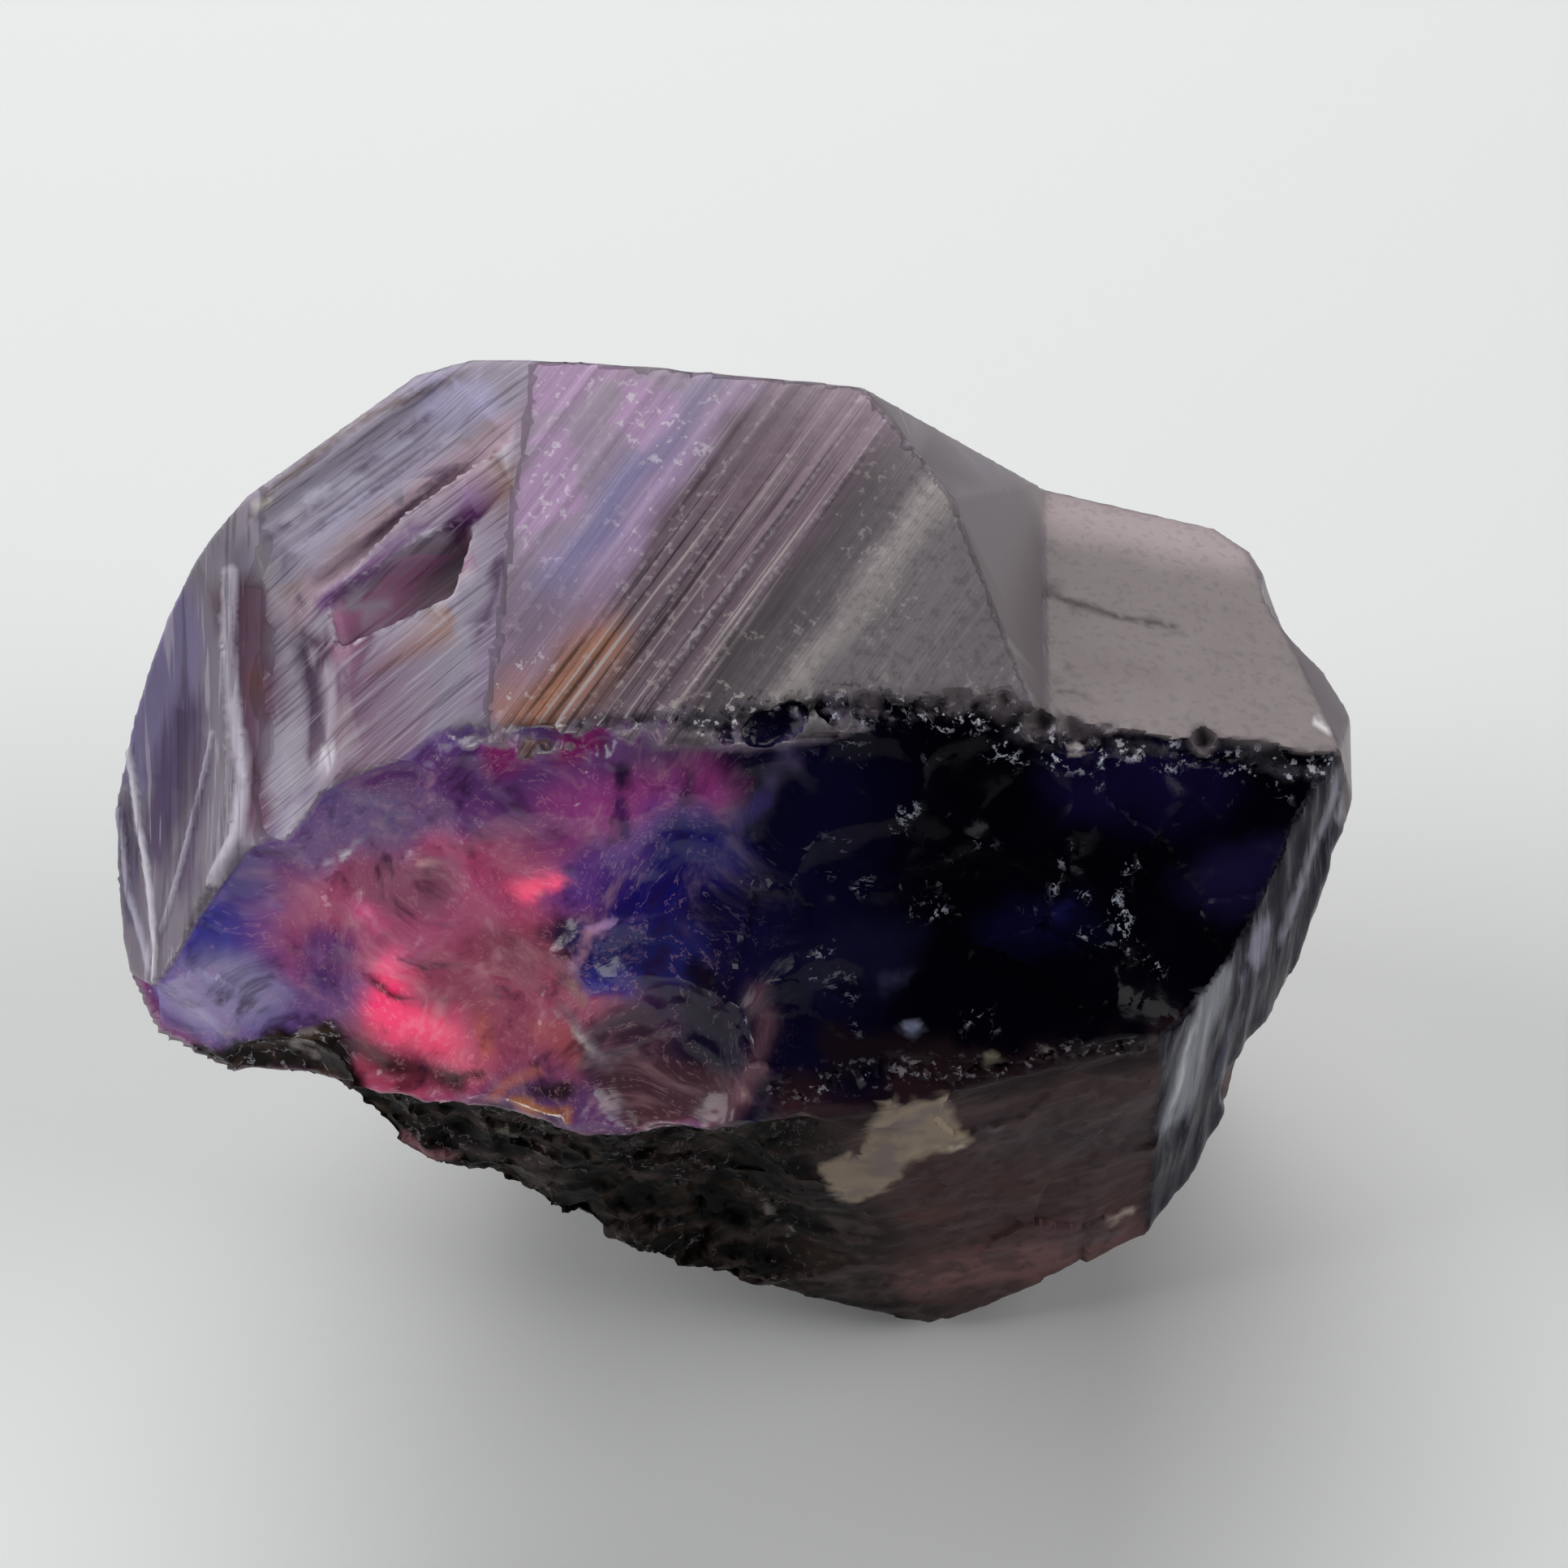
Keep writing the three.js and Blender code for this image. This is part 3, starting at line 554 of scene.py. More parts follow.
SHOULDER_MARKS = (
    ("#3e3739", 0.9, 0.04, 0.7,
     (1225, 675), (1265, 715), (1300, 733), (1345, 748), (1400, 762), (1455, 776)),
    ("#504a4c", 0.7, 0.08, 0.8, (1262, 700), (1300, 722)),
    ("#908487", 0.8, 0.30, 0.9, (1310, 630), (1400, 650), (1500, 670)),
    ("#8a8688", 0.7, 0.05, 0.8, (1210, 760), (1240, 800), (1262, 850), (1285, 900)),
    ("#c8c8cc", 0.9, 0.03, 0.6, (1268, 782), (1282, 795), (1300, 815)),
    ("#3a3436", 0.8, 0.03, 0.7, (1278, 828), (1322, 815)),
    ("#4a4244", 0.7, 0.03, 0.7, (1300, 850), (1345, 862)),
    ("#625a5c", 0.5, 0.13, 0.9, (1340, 820), (1420, 830)),
    ("#a8a0a4", 0.8, 0.03, 0.7, (1290, 905), (1320, 918), (1350, 922)),
    ("#c8c4c8", 0.8, 0.03, 0.6, (1618, 890), (1630, 896)),
)
# The stepped corner on the upper left, with lines along its steps, and the flakes of the left end.
TERRACE_COLOURS = (
    ("#7e7884", 0.9, 0.17, 0.5, (270, 680), (400, 590), (560, 470)),
    ("#7e7888", 1.0, 0.30, 0.4, (345, 690), (560, 500)),
    ("#8c86a0", 0.9, 0.17, 0.6, (540, 495), (590, 500)),
    ("#8c7884", 1.0, 0.15, 0.4, (365, 745), (625, 530)),
    ("#6c4a74", 0.9, 0.07, 0.5, (400, 745), (600, 590)),
    ("#a0708c", 1.0, 0.15, 0.4, (430, 770), (560, 670)),
    ("#3c1c34", 0.9, 0.09, 0.4, (400, 800), (450, 785)),
    ("#7e5c70", 0.8, 0.12, 0.6, (420, 800), (500, 750), (590, 697)),
    ("#5f4468", 0.85, 0.06, 0.6, (405, 742), (500, 662), (590, 592)),
    ("#3c1c40", 1.0, 0.08, 0.5, (555, 645), (590, 630)),
    ("#6c5450", 0.9, 0.09, 0.5, (600, 610), (620, 590)),
    ("#5c4258", 0.95, 0.15, 0.4, (425, 850), (500, 800)),
    ("#74646e", 0.9, 0.13, 0.5, (430, 880), (410, 920)),
    ("#6c5868", 0.9, 0.19, 0.5, (500, 910), (440, 960)),
    ("#77717e", 1.0, 0.19, 0.3, (525, 880), (600, 720)),
    ("#6c6074", 0.9, 0.19, 0.4, (640, 680), (610, 860)),
    ("#805c44", 0.8, 0.08, 0.6, (520, 790), (550, 765)),
)
# Its pale lines are painted highlights on the edges of the steps, and its small pale spots painted glints.
TERRACE_MARKS = (
    ("#d8d0e0", 0.95, 0.03, 0.5, (428, 748), (530, 650), (632, 548)),
    ("#cfc6d4", 0.8, 0.02, 0.5, (385, 745), (430, 748), (520, 738)),
    ("#c4b8c4", 0.85, 0.03, 0.5, (440, 790), (520, 748), (598, 690)),
    ("#c0b4c0", 0.9, 0.03, 0.5, (415, 842), (470, 815), (530, 762), (590, 690)),
    ("#b0a0b0", 0.6, 0.02, 0.5, (430, 720), (470, 760), (500, 800)),
    ("#9c8a86", 0.8, 0.03, 0.5, (335, 735), (360, 725), (430, 665), (560, 552), (606, 520)),
    ("#54405c", 0.7, 0.02, 0.5, (365, 742), (480, 645), (560, 575)),
    ("#6c5c50", 0.7, 0.03, 0.6, (300, 640), (340, 600), (440, 520), (560, 465)),
    ("#6a5e74", 0.7, 0.03, 0.6, (345, 690), (440, 620), (540, 548)),
    ("#655870", 0.6, 0.02, 0.6, (325, 668), (425, 592), (530, 512)),
    ("#d0ccdc", 0.8, 0.05, 0.7, (380, 615), (402, 604)),
    ("#c8c4d8", 0.8, 0.05, 0.7, (420, 600), (440, 590)),
    ("#c8c0cc", 0.8, 0.03, 0.7, (350, 640), (372, 628)),
    ("#d8d0c8", 0.8, 0.03, 0.7, (312, 626), (330, 618)),
    ("#c0bcd4", 0.7, 0.04, 0.7, (470, 560), (500, 545)),
    ("#b8b4cc", 0.7, 0.03, 0.7, (405, 640), (450, 610)),
    ("#b8aeba", 0.9, 0.04, 0.5, (308, 645), (335, 735), (375, 790), (408, 838), (402, 950)),
    ("#ece4f0", 0.9, 0.05, 0.6, (398, 925), (408, 940)),
    ("#45304c", 0.8, 0.05, 0.6, (372, 780), (384, 850), (388, 905)),
    ("#9c94a0", 0.7, 0.03, 0.7, (520, 890), (560, 800), (598, 725)),
    ("#4c3450", 0.8, 0.04, 0.6, (615, 690), (608, 725)),
    ("#503854", 0.7, 0.04, 0.6, (600, 745), (590, 790)),
    ("#4c2c4c", 0.8, 0.05, 0.6, (505, 795), (480, 818)),
    ("#86684e", 0.6, 0.06, 0.7, (560, 720), (530, 762)),
    ("#7c6054", 0.7, 0.06, 0.7, (608, 560), (618, 590)),
)
FLAKE_COLOURS = (
    ("#7a7192", 1.0, 0.32, 0.5, (220, 780), (180, 930)),
    ("#574868", 0.95, 0.19, 0.5, (230, 880), (190, 1040)),
    ("#64566e", 0.9, 0.14, 0.5, (250, 930), (230, 1080)),
    ("#5e4858", 1.0, 0.19, 0.4, (300, 740), (320, 900), (320, 1000)),
    ("#3a2138", 0.9, 0.08, 0.5, (375, 790), (385, 920)),
    ("#8a8490", 0.9, 0.12, 0.5, (345, 900), (350, 1010)),
    ("#704c44", 0.7, 0.06, 0.6, (315, 830), (320, 850)),
    ("#58506c", 0.9, 0.09, 0.4, (144, 1004), (165, 1120)),
)
# The growth face: bands of colour that run with the striations, each from where it fades in across
# the face, after a first that covers it all, and an amber stain near the front.
BANDS = (
    (-9.0, -8.9, "#786c7c"),
    (-2.30, -2.00, "#625d78"),
    (-2.02, -1.76, "#806e88"),
    (-1.78, -1.54, "#51454d"),
    (-0.78, -0.56, "#3c383b"),
    (-0.28, -0.10, "#4a4646"),
    (0.0, 0.12, "#3c393b"),
)
AMBER_STAIN = (
    ("#84583c", 0.6, 0.22, 0.9, (647, 879), (726, 800)),
)
THINNEST_STROKE = 0.03
PATCH_WANDER = 0.03
# The strokes' edges wander by so many millimetres, so that none is a drawn line, and the bands'
# edges by less. Clouds and mottles vary the colours, and dots break up the glints. Each of them
# has a number to the millimetre, and the layers as above.
WANDER, WANDERS_PER_MM = 0.16, 2.3
FINE_WANDER, FINE_WANDERS_PER_MM = 0.05, 8
BAND_WANDER, FINE_BAND_WANDER = 0.12, 0.04
CLOUDS_PER_MM, CLOUD_LAYERS = 1.3, (0.9, 2.0, 4)
MOTTLES_PER_MM, MOTTLE_LAYERS = Vector((3, 3, 6)), (0.7, 2.0, 4)
DOTS_PER_MM = 5


def pushes(spots, per_mm):
    """A smooth uneven push for each point, of up to about a millimetre each way."""
    return np.array([noise.noise_vector(Vector(s) * per_mm) for s in spots])


def clouds(spots, per_mm, layers):
    """How cloudy each point is, about 0.5 and mostly between 0 and 1."""
    return 0.5 + 0.5 * np.array([noise.fractal(Vector(s) * per_mm, *layers) for s in spots])


spots, outs = points_of(skin)
masks = {}
for name in (*FACE_KINDS, "crushed"):
    masks[name] = np.empty(len(spots))
    skin.attributes[name].data.foreach_get("value", masks[name])
growth, terrace, fracture, shoulder, lower, narrow, crushed = masks.values()
broken = np.maximum(fracture, lower)
wobble = pushes(spots, WANDERS_PER_MM)
fine_wobble = pushes(spots, FINE_WANDERS_PER_MM)
wandering = spots + WANDER * wobble + FINE_WANDER * fine_wobble
right, back, up = wandering.T
across = (spots - GROWTH[0]) @ ACROSS + BAND_WANDER * wobble[:, 0] + FINE_BAND_WANDER * fine_wobble[:, 0]
cloud = clouds(spots, CLOUDS_PER_MM, CLOUD_LAYERS)
mottle = clouds(spots, MOTTLES_PER_MM, MOTTLE_LAYERS)

# Parts of the stone that aren't a whole face. The two numbers of a ramp are the ends of its soft
# step, in millimetres to the right, back, up or across the growth face, or the other way where
# the distance has a minus, or else a share of a pattern.
wedge = fracture * under_any(WEDGE, wandering)
clear_left = fracture * ramp(-right, -0.6, 0.6) * (1 - wedge)
dark_right = fracture - clear_left
crust = np.maximum(lower * ramp(-right, *CRUST_END), wedge)
lower_right = lower * ramp(right, 0.3, 0.8)
mauve_right = lower * ramp(right - 0.35 * (4 - up), 0.3, 0.8)
front_violet = fracture * ramp(-right, -0.2, 0.7)
flank = ramp(right, 0.8, 1.2) * ramp(-outs[:, 1], -0.6, 0.0)
# Painted light: the growth face is made lighter towards its back.
growth_back_painted_light = growth * ramp(back, 0.4, 2.2)
growth_dusk = growth * ramp(-across, 1.5, 1.9) * ramp(-back, -0.1, 0.6)
growth_pink = growth * ramp(-across, 1.9, 2.2) * ramp(cloud, 0.45, 0.6)


def flat(code):
    """A colour for each point, all of them the same."""
    return np.tile(linear(code), (len(spots), 1))


def in_photo(spots):
    """Where points of the stone appear in the photograph, in its pixels across and down."""
    seen = (spots - np.array(CAMERA_PLACE)) @ np.array(CAMERA_TURN)
    return PHOTO_WIDTH_PIXELS / 2 + FOCAL_LENGTH_PIXELS * seen[:, :2] * (1, -1) / -seen[:, 2:]


def within(spots, corners, soft):
    """1 inside the outline that the corners draw in the photograph, fading to 0 at its edge."""
    seen = in_photo(spots)
    outline = np.array((*corners, corners[0]))
    inside = np.zeros(len(spots), bool)
    for start, end in zip(outline, outline[1:]):
        away, run = seen - start, end - start
        spans = (away[:, 1] > 0) != (away[:, 1] > run[1])
        rise = np.sign(run[1])
        inside ^= spans & (away[:, 0] * run[1] * rise < away[:, 1] * run[0] * rise)
    nearest = distance_to(outline, seen)
    return ramp(np.where(inside, nearest, -nearest), -soft, soft)


def laid(below, colour, cover):
    """One colour laid over what is below it, as far as cover says at each point."""
    return below * (1 - cover[:, None]) + np.array(linear(colour)) * cover[:, None]


def painted(below, strokes, where, spots):
    """Strokes laid over what is below them, one after another."""
    for colour, cover, half, soft, *places in strokes:
        mark = brushed(spots, places, max(half, THINNEST_STROKE), soft)
        below = laid(below, colour, cover * where * mark)
    return below


def wandered(share):
    """The points moved by a share of their wandering, for strokes that keep more of their shape."""
    return spots + share * (wandering - spots)


# Mottles of the underside's right and of its crust: a colour, its cover and where it fades in.
UNDERSIDE_MOTTLES = (("#4a3636", 0.6, (0.42, 0.6)), ("#8a7474", 0.35, (0.6, 0.75)))
CRUST_MOTTLES = (("#48382e", 0.9, (0.5, 0.66)), ("#5c504e", 0.8, (0.68, 0.8)))

# The colours are laid from the ground up: first each face's own, then its strokes.
tint = laid(flat("#524c54"), "#645a66", ramp(cloud, 0.3, 0.7))
tint = laid(tint, "#665e62", flank)
tint = laid(tint, "#6b6464", shoulder)
tint = laid(tint, "#7c7480", terrace)
tint = painted(tint, TERRACE_COLOURS, terrace, wandered(0.3))
tint = painted(tint, FLAKE_COLOURS, terrace, wandered(0.5))
tint = painted(tint, SHOULDER_MARKS, 1 - broken, wandered(0.4))
tint = laid(tint, "#0c0807", lower)
tint = laid(tint, "#64494a", mauve_right)
tint = painted(tint, LOWER_RIGHT, lower, wandering)
for colour, cover, step in UNDERSIDE_MOTTLES:
    tint = laid(tint, colour, cover * lower_right * ramp(mottle, *step))
tint = laid(tint, "#03020a", fracture)
tint = laid(tint, "#6a4478", front_violet)
tint = painted(tint, FRONT_COLOURS, fracture, wandering)
tint = painted(tint, HOT_SPOTS, fracture, wandering)
tint = painted(tint, FRONT_MARKS, fracture, spots)
tint = painted(tint, SHELL_ARCS, fracture, wandered(0.3))
tint = painted(tint, DARK_FRONT_MARKS, fracture, wandering)
tint = painted(tint, WEDGE, fracture, wandering)
for colour, cover, step in CRUST_MOTTLES:
    tint = laid(tint, colour, cover * crust * ramp(mottle, *step))
tint = painted(tint, UNDERSIDE_LEFT, lower, wandering)
tint = painted(tint, CHIN_MARKS, broken, wandering)
tint = laid(tint, "#100e26", narrow)
# The pale streaks of the narrow facets are painted sheen.
tint = painted(tint, NARROW_FACETS, np.maximum(narrow, 0.6 * lower), spots)
for start, end, colour in BANDS:
    tint = laid(tint, colour, growth * ramp(across, start, end))
# Painted light towards the back of the growth face.
tint = laid(tint, "#8e828a", 0.8 * growth_back_painted_light)
tint = laid(tint, "#5f515c", 0.85 * growth_dusk)
tint = laid(tint, "#8c7290", 0.7 * growth_pink)
tint = painted(tint, AMBER_STAIN, growth, wandering)

# Painted light and shade: each face is made lighter or darker than the colours laid on it, for how
# the light falls on it. The growth face, most on its right and towards its back, the shoulder and
# the terraces are painted lighter, and the underside and the narrow facets darker, as painted shade.
growth_painted_light = 0.9 + 1.9 * ramp(across, -0.7, 0.0)
growth_painted_light += 0.9 * ramp(back, -0.6, 0.8) * ramp(across, -1.5, -1.0)
terrace_painted_light = 0.85 * ramp(spots[:, 0], -3.75, -3.45) * ramp(-outs[:, 1], -0.3, 0.1)
painted_light_and_shade = 1 + 0.5 * shoulder - 0.4 * lower - 0.3 * narrow
painted_light_and_shade += growth * growth_painted_light * (1 - crushed) + terrace * terrace_painted_light
tint[:, :3] *= painted_light_and_shade[:, None]

tint = painted(tint, CRUSHED_EDGES, np.full(len(spots), 0.9), wandering)
patch = within(spots + PATCH_WANDER * fine_wobble, BEIGE_PATCH, BEIGE_PATCH_EDGE_PIXELS)
patch *= broken * ramp(-outs[:, 1], 0.0, 0.3)
tint = laid(tint, "#a2917f", patch)
tint = laid(tint, "#857a76", 0.8 * patch * ramp(mottle, 0.45, 0.65))
tint = painted(tint, PATCH_MARKS, broken, spots)
# The pale lines of these marks are painted highlights on the steps' edges and the flakes' crests.
tint = painted(tint, TERRACE_MARKS, 1 - broken, spots)
tint = painted(tint, FLAKE_MARKS, 1 - broken, spots)

# Painted highlights: outward edges are painted pale where they catch the light. An edge is where
# the surface drops away all round a point.
EDGE_HIGHLIGHT_DROP = (0.10, 0.34)
EDGE_HIGHLIGHT_END = (-0.5, 0.3)
shell = bmesh.new()
shell.from_mesh(skin)
drops = [
    -sum((edge.other_vert(vert).co - vert.co).normalized().dot(vert.normal) for edge in vert.link_edges)
    / len(vert.link_edges)
    for vert in shell.verts
]
shell.free()
painted_edge_highlight = ramp(np.array(drops), *EDGE_HIGHLIGHT_DROP) * (1 - broken) * ramp(-across, *EDGE_HIGHLIGHT_END)
tint = laid(tint, "#b8b2ba", 0.5 * painted_edge_highlight * (1 - crushed))

# Three fine patterns mark the stone: streaks, wrinkles and crumbs. Each face has its own colours
# for their pale and dark parts, and its own strength of each.
PATTERN_COLOURS = (
    ("growth", "#a89f9e", "#181216"),
    ("terrace", "#bcb4c0", "#3a2a38"),
    # On the dark right of the front this pale colour is that of the painted glints.
    ("fracture", "#c4c8d8", "#020106"),
    ("lower", "#857a7c", "#14100f"),
    ("narrow", "#d4d8e2", "#16162a"),
    ("shoulder", "#8c827c", "#2e2826"),
    ("crushed", "#d4d0da", "#1c1a20"),
)
pale = flat("#b0a8b8")
deep = flat("#2a1e2e")
for kind, pale_colour, deep_colour in PATTERN_COLOURS:
    pale = laid(pale, pale_colour, masks[kind])
    deep = laid(deep, deep_colour, masks[kind])
pale = laid(pale, "#f0b8c4", clear_left * (1 - crushed))
pale = laid(pale, "#9c6c8c", clear_left * ramp(spots[:, 0], -0.2, 0.3))
deep = laid(deep, "#2a1030", clear_left * (1 - crushed))
pale = laid(pale, "#e8e4ea", growth * ramp(-across, 1.6, 1.7))

# How strongly each pattern marks each part of the stone, from 0 to 1. The striations show best in
# a band up the growth face, the crumbs along the brow, and the glints in dots.
BROW_GRAINS = CRUSHED_EDGES[1:-1]
GRAIN_REACH = 2.2
banded = ramp(across, -1.72, -1.56) * ramp(-across, 0.5, 0.8) * (1 - 0.75 * ramp(back, -0.1, 1.3))
grains = under_any(BROW_GRAINS, wandering, GRAIN_REACH)
crushed_brow = crushed * (0.3 + 0.7 * ramp(spots[:, 2], 4.7, 5.3))
flecked = ramp(cloud, 0.45, 0.6) * growth
dotted = ramp(np.array([noise.noise(Vector(s) * DOTS_PER_MM) for s in spots]), 0.14, 0.32)
shiny = [cover * brushed(wandering, places, half, soft) for cover, half, soft, *places in GLINTS]
glint = dotted * np.max(shiny, axis=0)
# Veins of the crust and, on the dark right of the front, painted glints drawn as the same lines.
veins_and_glints = np.clip(0.8 * crust * ramp(cloud, 0.3, 0.5) + dark_right * glint + 0.2 * clear_left, 0, 1)
pale_streaks = growth * (0.06 + 0.8 * banded) + 0.45 * terrace + 0.06 * narrow + 0.1 * lower * (1 - crust)
deep_streaks = growth * (0.08 + 0.6 * banded) + 0.4 * terrace + 0.3 * narrow + 0.12 * lower
pale_wrinkles = 0.28 * clear_left
deep_wrinkles = 0.7 * clear_left + 0.4 * crust
# On the dark right of the front the pale crumbs are painted glints.
pale_crumbs_and_glints = np.maximum(crushed_brow, 0.85 * grains) + dark_right * 0.6 * glint
pale_crumbs_and_glints += 0.35 * flecked + 0.15 * shoulder + 0.1 * growth
deep_crumbs = 0.6 * grains + 0.15 * shoulder + 0.3 * crust + 0.2 * growth * ramp(across, -0.7, -0.2)
raised_streaks = 0.6 * growth + 0.1 * shoulder + 0.4 * terrace + 0.4 * narrow
raised_wrinkles = 0.1 + 0.6 * clear_left + 0.7 * lower + 0.2 * dark_right

# How far each point lets light through, is cloudy inside and glows, and how rough it is. The glow
# is painted light: an emission for light from behind shining through the front left, strongest at
# the hot spots.
see_through = 0.45 * clear_left
cloudy_body = 0.8 * clear_left
painted_glow = clear_left * (0.26 + 0.34 * under_any(HOT_SPOTS, wandering))
roughness = 0.22 + 0.22 * lower + 0.25 * shoulder + 0.14 * growth - 0.04 * dark_right


def packed(*channels):
    """Three numbers a point, kept as one colour."""
    return np.clip(np.stack([*channels, np.ones(len(spots))], axis=1), 0, 1)


colours = {
    "tint": tint,
    "pale": pale,
    "deep": deep,
    "pale_marks": packed(pale_streaks, pale_wrinkles, pale_crumbs_and_glints),
    "deep_marks": packed(deep_streaks, deep_wrinkles, deep_crumbs),
    "relief": packed(raised_streaks, raised_wrinkles, veins_and_glints),
    "finish_and_glow": packed(roughness, see_through, painted_glow),
}
for name, values in colours.items():
    skin.attributes.new(name, "FLOAT_COLOR", "POINT").data.foreach_set("color", values.ravel())
skin.attributes.new("body", "FLOAT", "POINT").data.foreach_set("value", cloudy_body)

# Where each point lies in its face's streaks: the ways along them and across them, and their
# length and width in millimetres. The finest real ones don't show, so these are drawn coarser.
# Each face's streaks lie a gap apart in the pattern, so that none goes on into the next face.
FLAKE_END = (3.35, 3.55)
FLAKE_RUN = unit(-0.25, -0.72, -0.65)
TERRACE_RUN = unit(0.78, 0.57, 0.26)
TERRACE_SIDE = np.cross(unit(0.026, -0.441, 0.897), TERRACE_RUN)
# The plain ones are for the rest of the stone, by their size to the right, up and back.
PLAIN_STREAKS = (0.5, 0.2, 0.5)
STREAKS = (
    ("fracture", unit(0.6, 0.2, -0.7), unit(0.6, 0, 0.6), 0.16, 0.05),
    ("lower", unit(1, 0, 0.35), unit(-0.35, 0, 1), 0.9, 0.16),
    ("narrow", unit(-0.1, -0.1, 1), unit(1, 1, 0), 0.8, 0.07),
    ("shoulder", unit(1, 0.2, 0), unit(-0.2, 1, 0), 0.6, 0.12),
    ("terrace", TERRACE_RUN, TERRACE_SIDE, 0.9, 0.035),
    ("flake", FLAKE_RUN, unit(1, 0, 0), 1.6, 0.09),
    ("growth", STRIATION, ACROSS, 4.0, 0.06),
)
STREAK_GAP = 3.7
# The wrinkles bend round each other, because their pattern is pushed about by this much.
SWIRL_REACH, SWIRLS_PER_MM = 0.8, 1.1
masks["flake"] = terrace * ramp(-spots[:, 0], *FLAKE_END)
run = spots[:, (0, 2, 1)] / PLAIN_STREAKS
for place_in_row, (kind, along, sideways, length, width) in enumerate(STREAKS):
    own = masks[kind] > 0.5
    gap = np.full(len(spots), STREAK_GAP * place_in_row)
    run[own] = np.stack([spots @ along / length, spots @ sideways / width, gap], axis=1)[own]
swirl = spots + SWIRL_REACH * pushes(spots, SWIRLS_PER_MM)
for name, values in (("run", run), ("swirl", swirl)):
    skin.attributes.new(name, "FLOAT_VECTOR", "POINT").data.foreach_set("vector", values.ravel())

# Rough natural sapphire, grown and then broken, neither cut nor polished. Corundum has an IOR of
# 1.77, so its broken faces shine like glass, and its growth face is silky from its fine steps. The
# shine is kept low, because a rough face scatters most of it. The front left lets light through,
# and glows by an emission that is painted light: it stands in for light from behind shining through,
# with chromium's red glow in daylight. What goes through loses 10% to 16% in each millimetre.
SAPPHIRE_IOR = 1.77
MIRROR_SHARE = 0.04
SCATTER_REACH = 1.0
SCATTER_BY_COLOUR = (1.0, 0.45, 0.6)
INSIDE_COLOUR = "#8a68b8"
INSIDE_DENSITY = 200.0
BUMP_HEIGHT = 0.02
# Each pattern's noise: how many marks go to a millimetre, how many finer layers there are, and how
# strong they are. Streaks have their size already, so theirs is 1. Wrinkles are about 0.4 mm apart
# and crumbs 0.08 mm, coarser than the finest real ones, which wouldn't show.
STREAK_NOISE = (1.0, 3, 0.65)
WRINKLE_NOISE = (2.6, 5, 0.62)
CRUMB_NOISE = (13.0, 3, 0.6)
# The parts of each pattern, from 0 to 1, that are pale or dark, as the ends of a soft step.
PALE_STREAK, DEEP_STREAK = (0.56, 0.63), (0.45, 0.37)
PALE_WRINKLE, DEEP_WRINKLE = (0.52, 0.72), (0.48, 0.30)
PALE_CRUMB, DEEP_CRUMB = (0.575, 0.64), (0.45, 0.39)
# A vein follows the middle of the wrinkles, and breaks off where there are few crumbs. On the dark
# right of the front these broken lines are painted glints.
VEIN_MIDDLE = 0.5
VEIN_EDGE = (0.014, 0.004)
VEIN_BREAK = (0.44, 0.52)


def add(tree, kind, inputs, **settings):
    """Adds a node with its settings. An input is a value, or the node or socket it is linked to."""
    made = tree.nodes.new("ShaderNode" + kind)
    for name, value in settings.items():
        setattr(made, name, value)
    for socket, value in inputs.items():
        if isinstance(value, bpy.types.Node):
            value = value.outputs[0]
        if isinstance(value, bpy.types.NodeSocket):
            tree.links.new(value, made.inputs[socket])
        else:
            made.inputs[socket].default_value = value
    return made


sapphire = bpy.data.materials.new("rough_sapphire")
sapphire.use_nodes = True
tree = sapphire.node_tree
tree.nodes.clear()
kept = {}
for name in (*colours, "run", "swirl", "body"):
    kept[name] = add(tree, "Attribute", {}, attribute_name=name).outputs
here = add(tree, "TexCoord", {}).outputs["Object"]
in_mm = add(tree, "VectorMath", {0: here, 1: (1 / MM,) * 3}, operation="MULTIPLY")
followed = (kept["run"]["Vector"], kept["swirl"]["Vector"], in_mm)
patterns = []
for place, (per_mm, layers, strong) in zip(followed, (STREAK_NOISE, WRINKLE_NOISE, CRUMB_NOISE)):
    inputs = {"Vector": place, "Scale": per_mm, "Detail": layers, "Roughness": strong}
    patterns.append(add(tree, "TexNoise", inputs))
streaks, wrinkles, crumbs = patterns


def cover_of(marks, edges):
    """The largest of the three patterns' covers, each as strong as the stone says there."""
    largest = 0.0
    strengths = add(tree, "SeparateColor", {0: kept[marks]["Color"]}).outputs
    for pattern, (low, high), strong in zip(patterns, edges, strengths):
        inputs = {"Value": pattern, "From Min": low, "From Max": high}
        step = add(tree, "MapRange", inputs, interpolation_type="SMOOTHSTEP")
        cover = add(tree, "Math", {0: step, 1: strong}, operation="MULTIPLY")
        largest = add(tree, "Math", {0: largest, 1: cover}, operation="MAXIMUM")
    return largest


pale_cover = cover_of("pale_marks", (PALE_STREAK, PALE_WRINKLE, PALE_CRUMB))
deep_cover = cover_of("deep_marks", (DEEP_STREAK, DEEP_WRINKLE, DEEP_CRUMB))
raised_streak, raised_wrinkle, vein_and_glint_cover = add(tree, "SeparateColor", {0: kept["relief"]["Color"]}).outputs
off_vein = add(tree, "Math", {0: wrinkles, 1: VEIN_MIDDLE}, operation="SUBTRACT")
off_vein = add(tree, "Math", {0: off_vein}, operation="ABSOLUTE")
for value, (low, high) in ((off_vein, VEIN_EDGE), (crumbs, VEIN_BREAK)):
    inputs = {"Value": value, "From Min": low, "From Max": high}
    step = add(tree, "MapRange", inputs, interpolation_type="SMOOTHSTEP")
    vein_and_glint_cover = add(tree, "Math", {0: step, 1: vein_and_glint_cover}, operation="MULTIPLY")
tone = kept["tint"]["Color"]
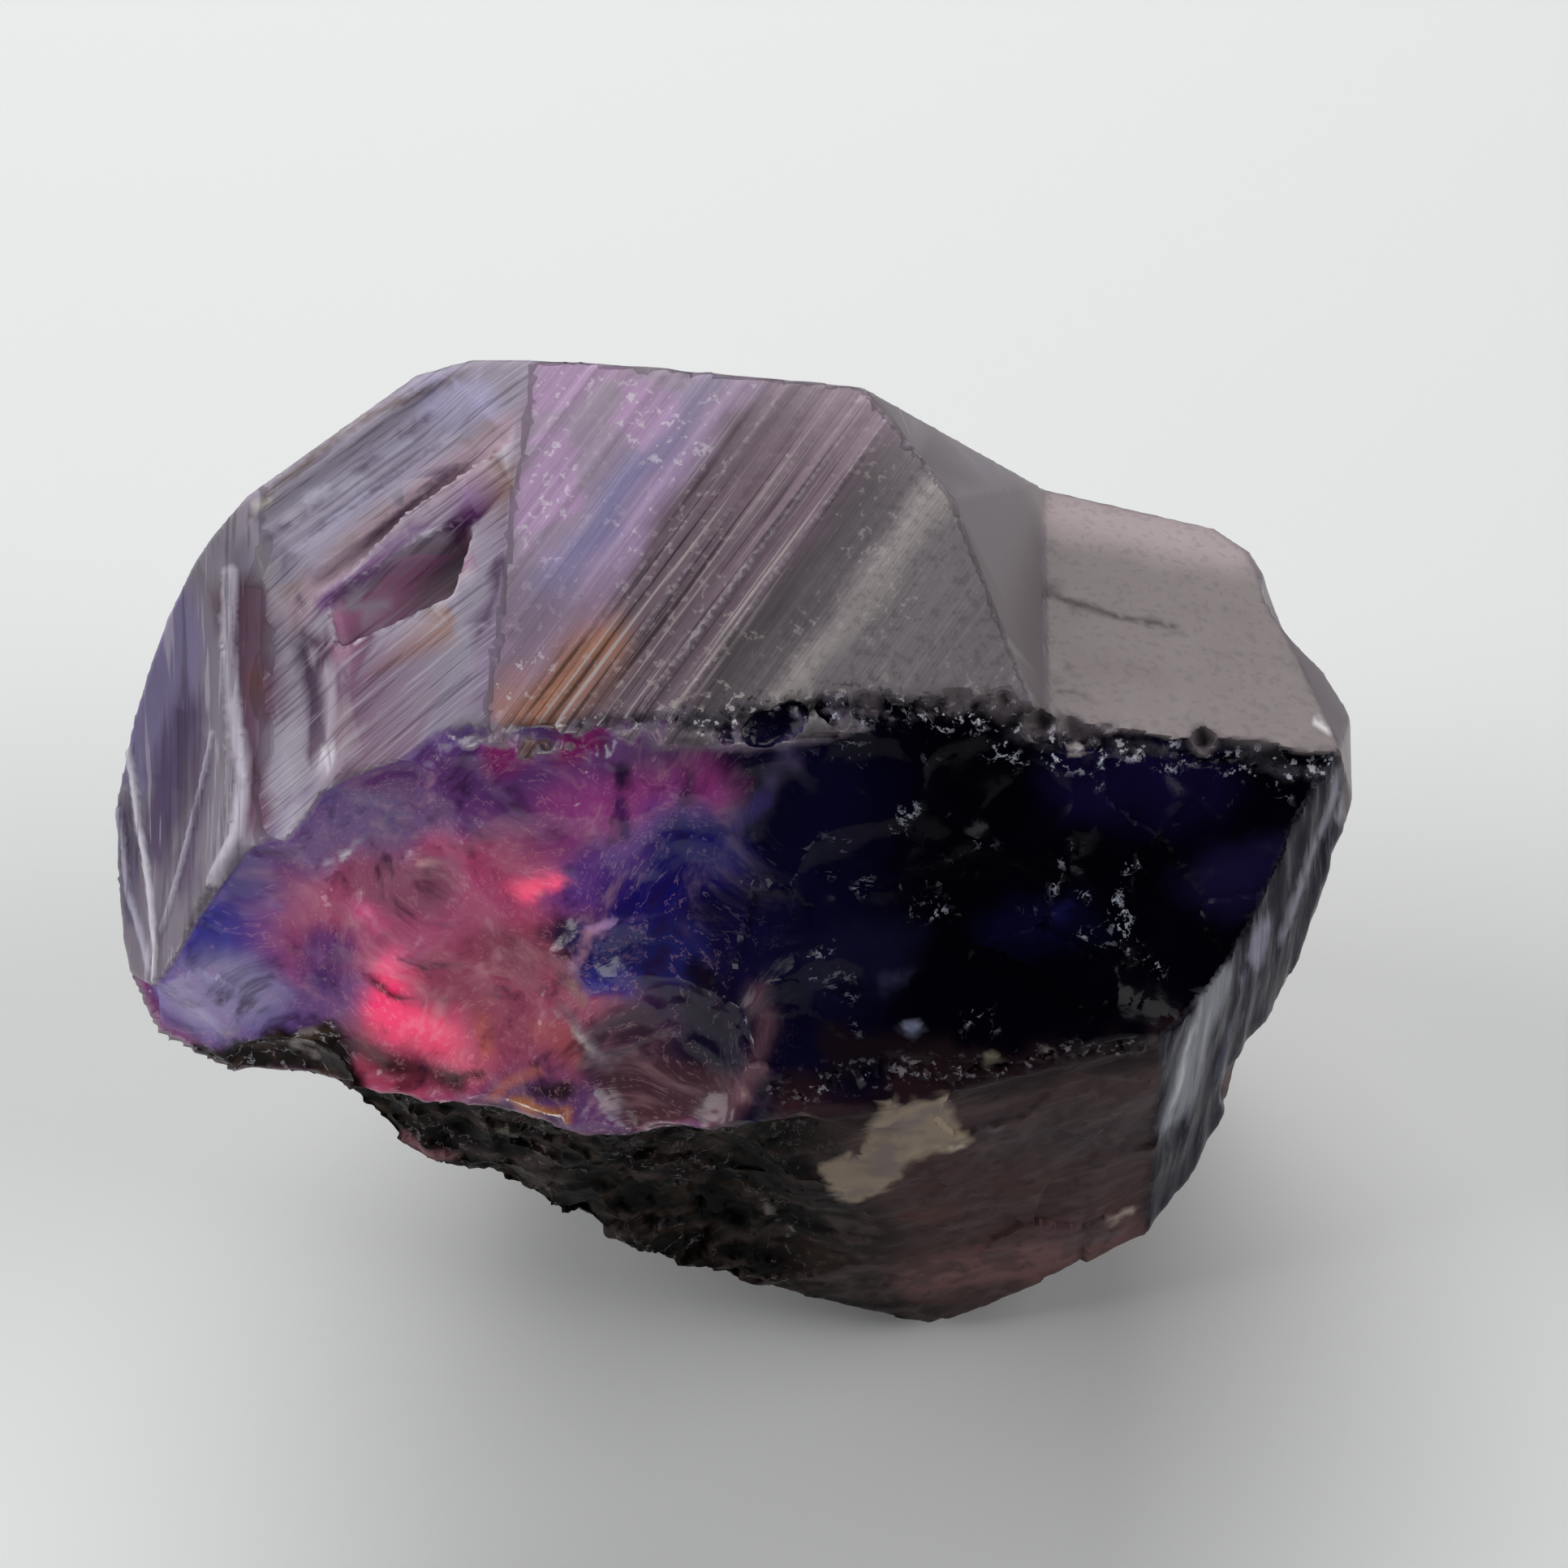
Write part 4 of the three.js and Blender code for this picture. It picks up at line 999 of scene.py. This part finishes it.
for name, cover in (("pale", pale_cover), ("deep", deep_cover), ("pale", vein_and_glint_cover)):
    tone = add(tree, "Mix", {0: cover, 6: tone, 7: kept[name]["Color"]}, data_type="RGBA").outputs[2]
height = 0.0
for pattern, raised in ((streaks, raised_streak), (wrinkles, raised_wrinkle)):
    part = add(tree, "Math", {0: pattern, 1: raised}, operation="MULTIPLY")
    height = add(tree, "Math", {0: height, 1: part}, operation="ADD")
bump = add(tree, "Bump", {"Height": height, "Strength": 1.0, "Distance": BUMP_HEIGHT * MM})
# The third channel is the painted glow: emission standing in for light from behind shining through.
rough, through, painted_glow_strength = add(tree, "SeparateColor", {0: kept["finish_and_glow"]["Color"]}).outputs
surface = add(
    tree,
    "BsdfPrincipled",
    {
        "Base Color": tone,
        "IOR": SAPPHIRE_IOR,
        "Specular IOR Level": MIRROR_SHARE,
        "Roughness": rough,
        "Transmission Weight": through,
        "Subsurface Weight": kept["body"]["Fac"],
        "Subsurface Radius": SCATTER_BY_COLOUR,
        "Subsurface Scale": SCATTER_REACH * MM,
        "Emission Color": tone,
        "Emission Strength": painted_glow_strength,
        "Normal": bump,
    },
)
depth = add(tree, "VolumeAbsorption", {"Color": linear(INSIDE_COLOUR), "Density": INSIDE_DENSITY})
add(tree, "OutputMaterial", {"Surface": surface, "Volume": depth})
skin.materials.clear()
skin.materials.append(sapphire)

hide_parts(CRYSTAL)
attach(stone, "root")

# The floor: a plain pale sheet of matt paper, laid flat under the stone. It is wide enough to reach
# past the picture's edges, and rough enough to show no shine.
FLOOR_SIZE = 3000
FLOOR_ROUGHNESS = 0.6
floor_mesh = bmesh.new()
bmesh.ops.create_grid(floor_mesh, x_segments=1, y_segments=1, size=FLOOR_SIZE / 2 * MM)
floor_skin = bpy.data.meshes.new("floor")
floor_mesh.to_mesh(floor_skin)
floor_mesh.free()
floor = bpy.data.objects.new("floor", floor_skin)
bpy.context.collection.objects.link(floor)
paper = bpy.data.materials.new("pale_floor")
paper.use_nodes = True
sheet = paper.node_tree.nodes["Principled BSDF"]
sheet.inputs["Base Color"].default_value = linear("#d9dada")
sheet.inputs["Roughness"].default_value = FLOOR_ROUGHNESS
floor_skin.materials.append(paper)

# Lamps and room: a wide soft window behind the stone, a soft panel on each side, and a faint
# even light all round. Each lamp has its place, its size and its power in watts.
LAMPS = (
    ("window", Vector((-40, 260, 210)), 260, 1.02),
    ("left_panel", Vector((-300, 10, 190)), 240, 0.80),
    ("right_panel", Vector((300, -20, 200)), 240, 0.66),
)
LIT_PLACE = Vector((0, 0, 4))
ROOM_LIGHT = 0.05
for name, place, size, watts in LAMPS:
    lamp = bpy.data.lights.new(name, "AREA")
    lamp.size = size * MM
    lamp.energy = watts
    holder = bpy.data.objects.new(name, lamp)
    holder.location = place * MM
    holder.rotation_euler = (LIT_PLACE - place).to_track_quat("-Z", "Y").to_euler()
    bpy.context.collection.objects.link(holder)

room = bpy.data.worlds.new("room")
room.use_nodes = True
walls = room.node_tree.nodes["Background"].inputs
walls["Color"].default_value = linear("#c8cacc")
walls["Strength"].default_value = ROOM_LIGHT
bpy.context.scene.world = room
bpy.context.scene.view_settings.view_transform = "Standard"
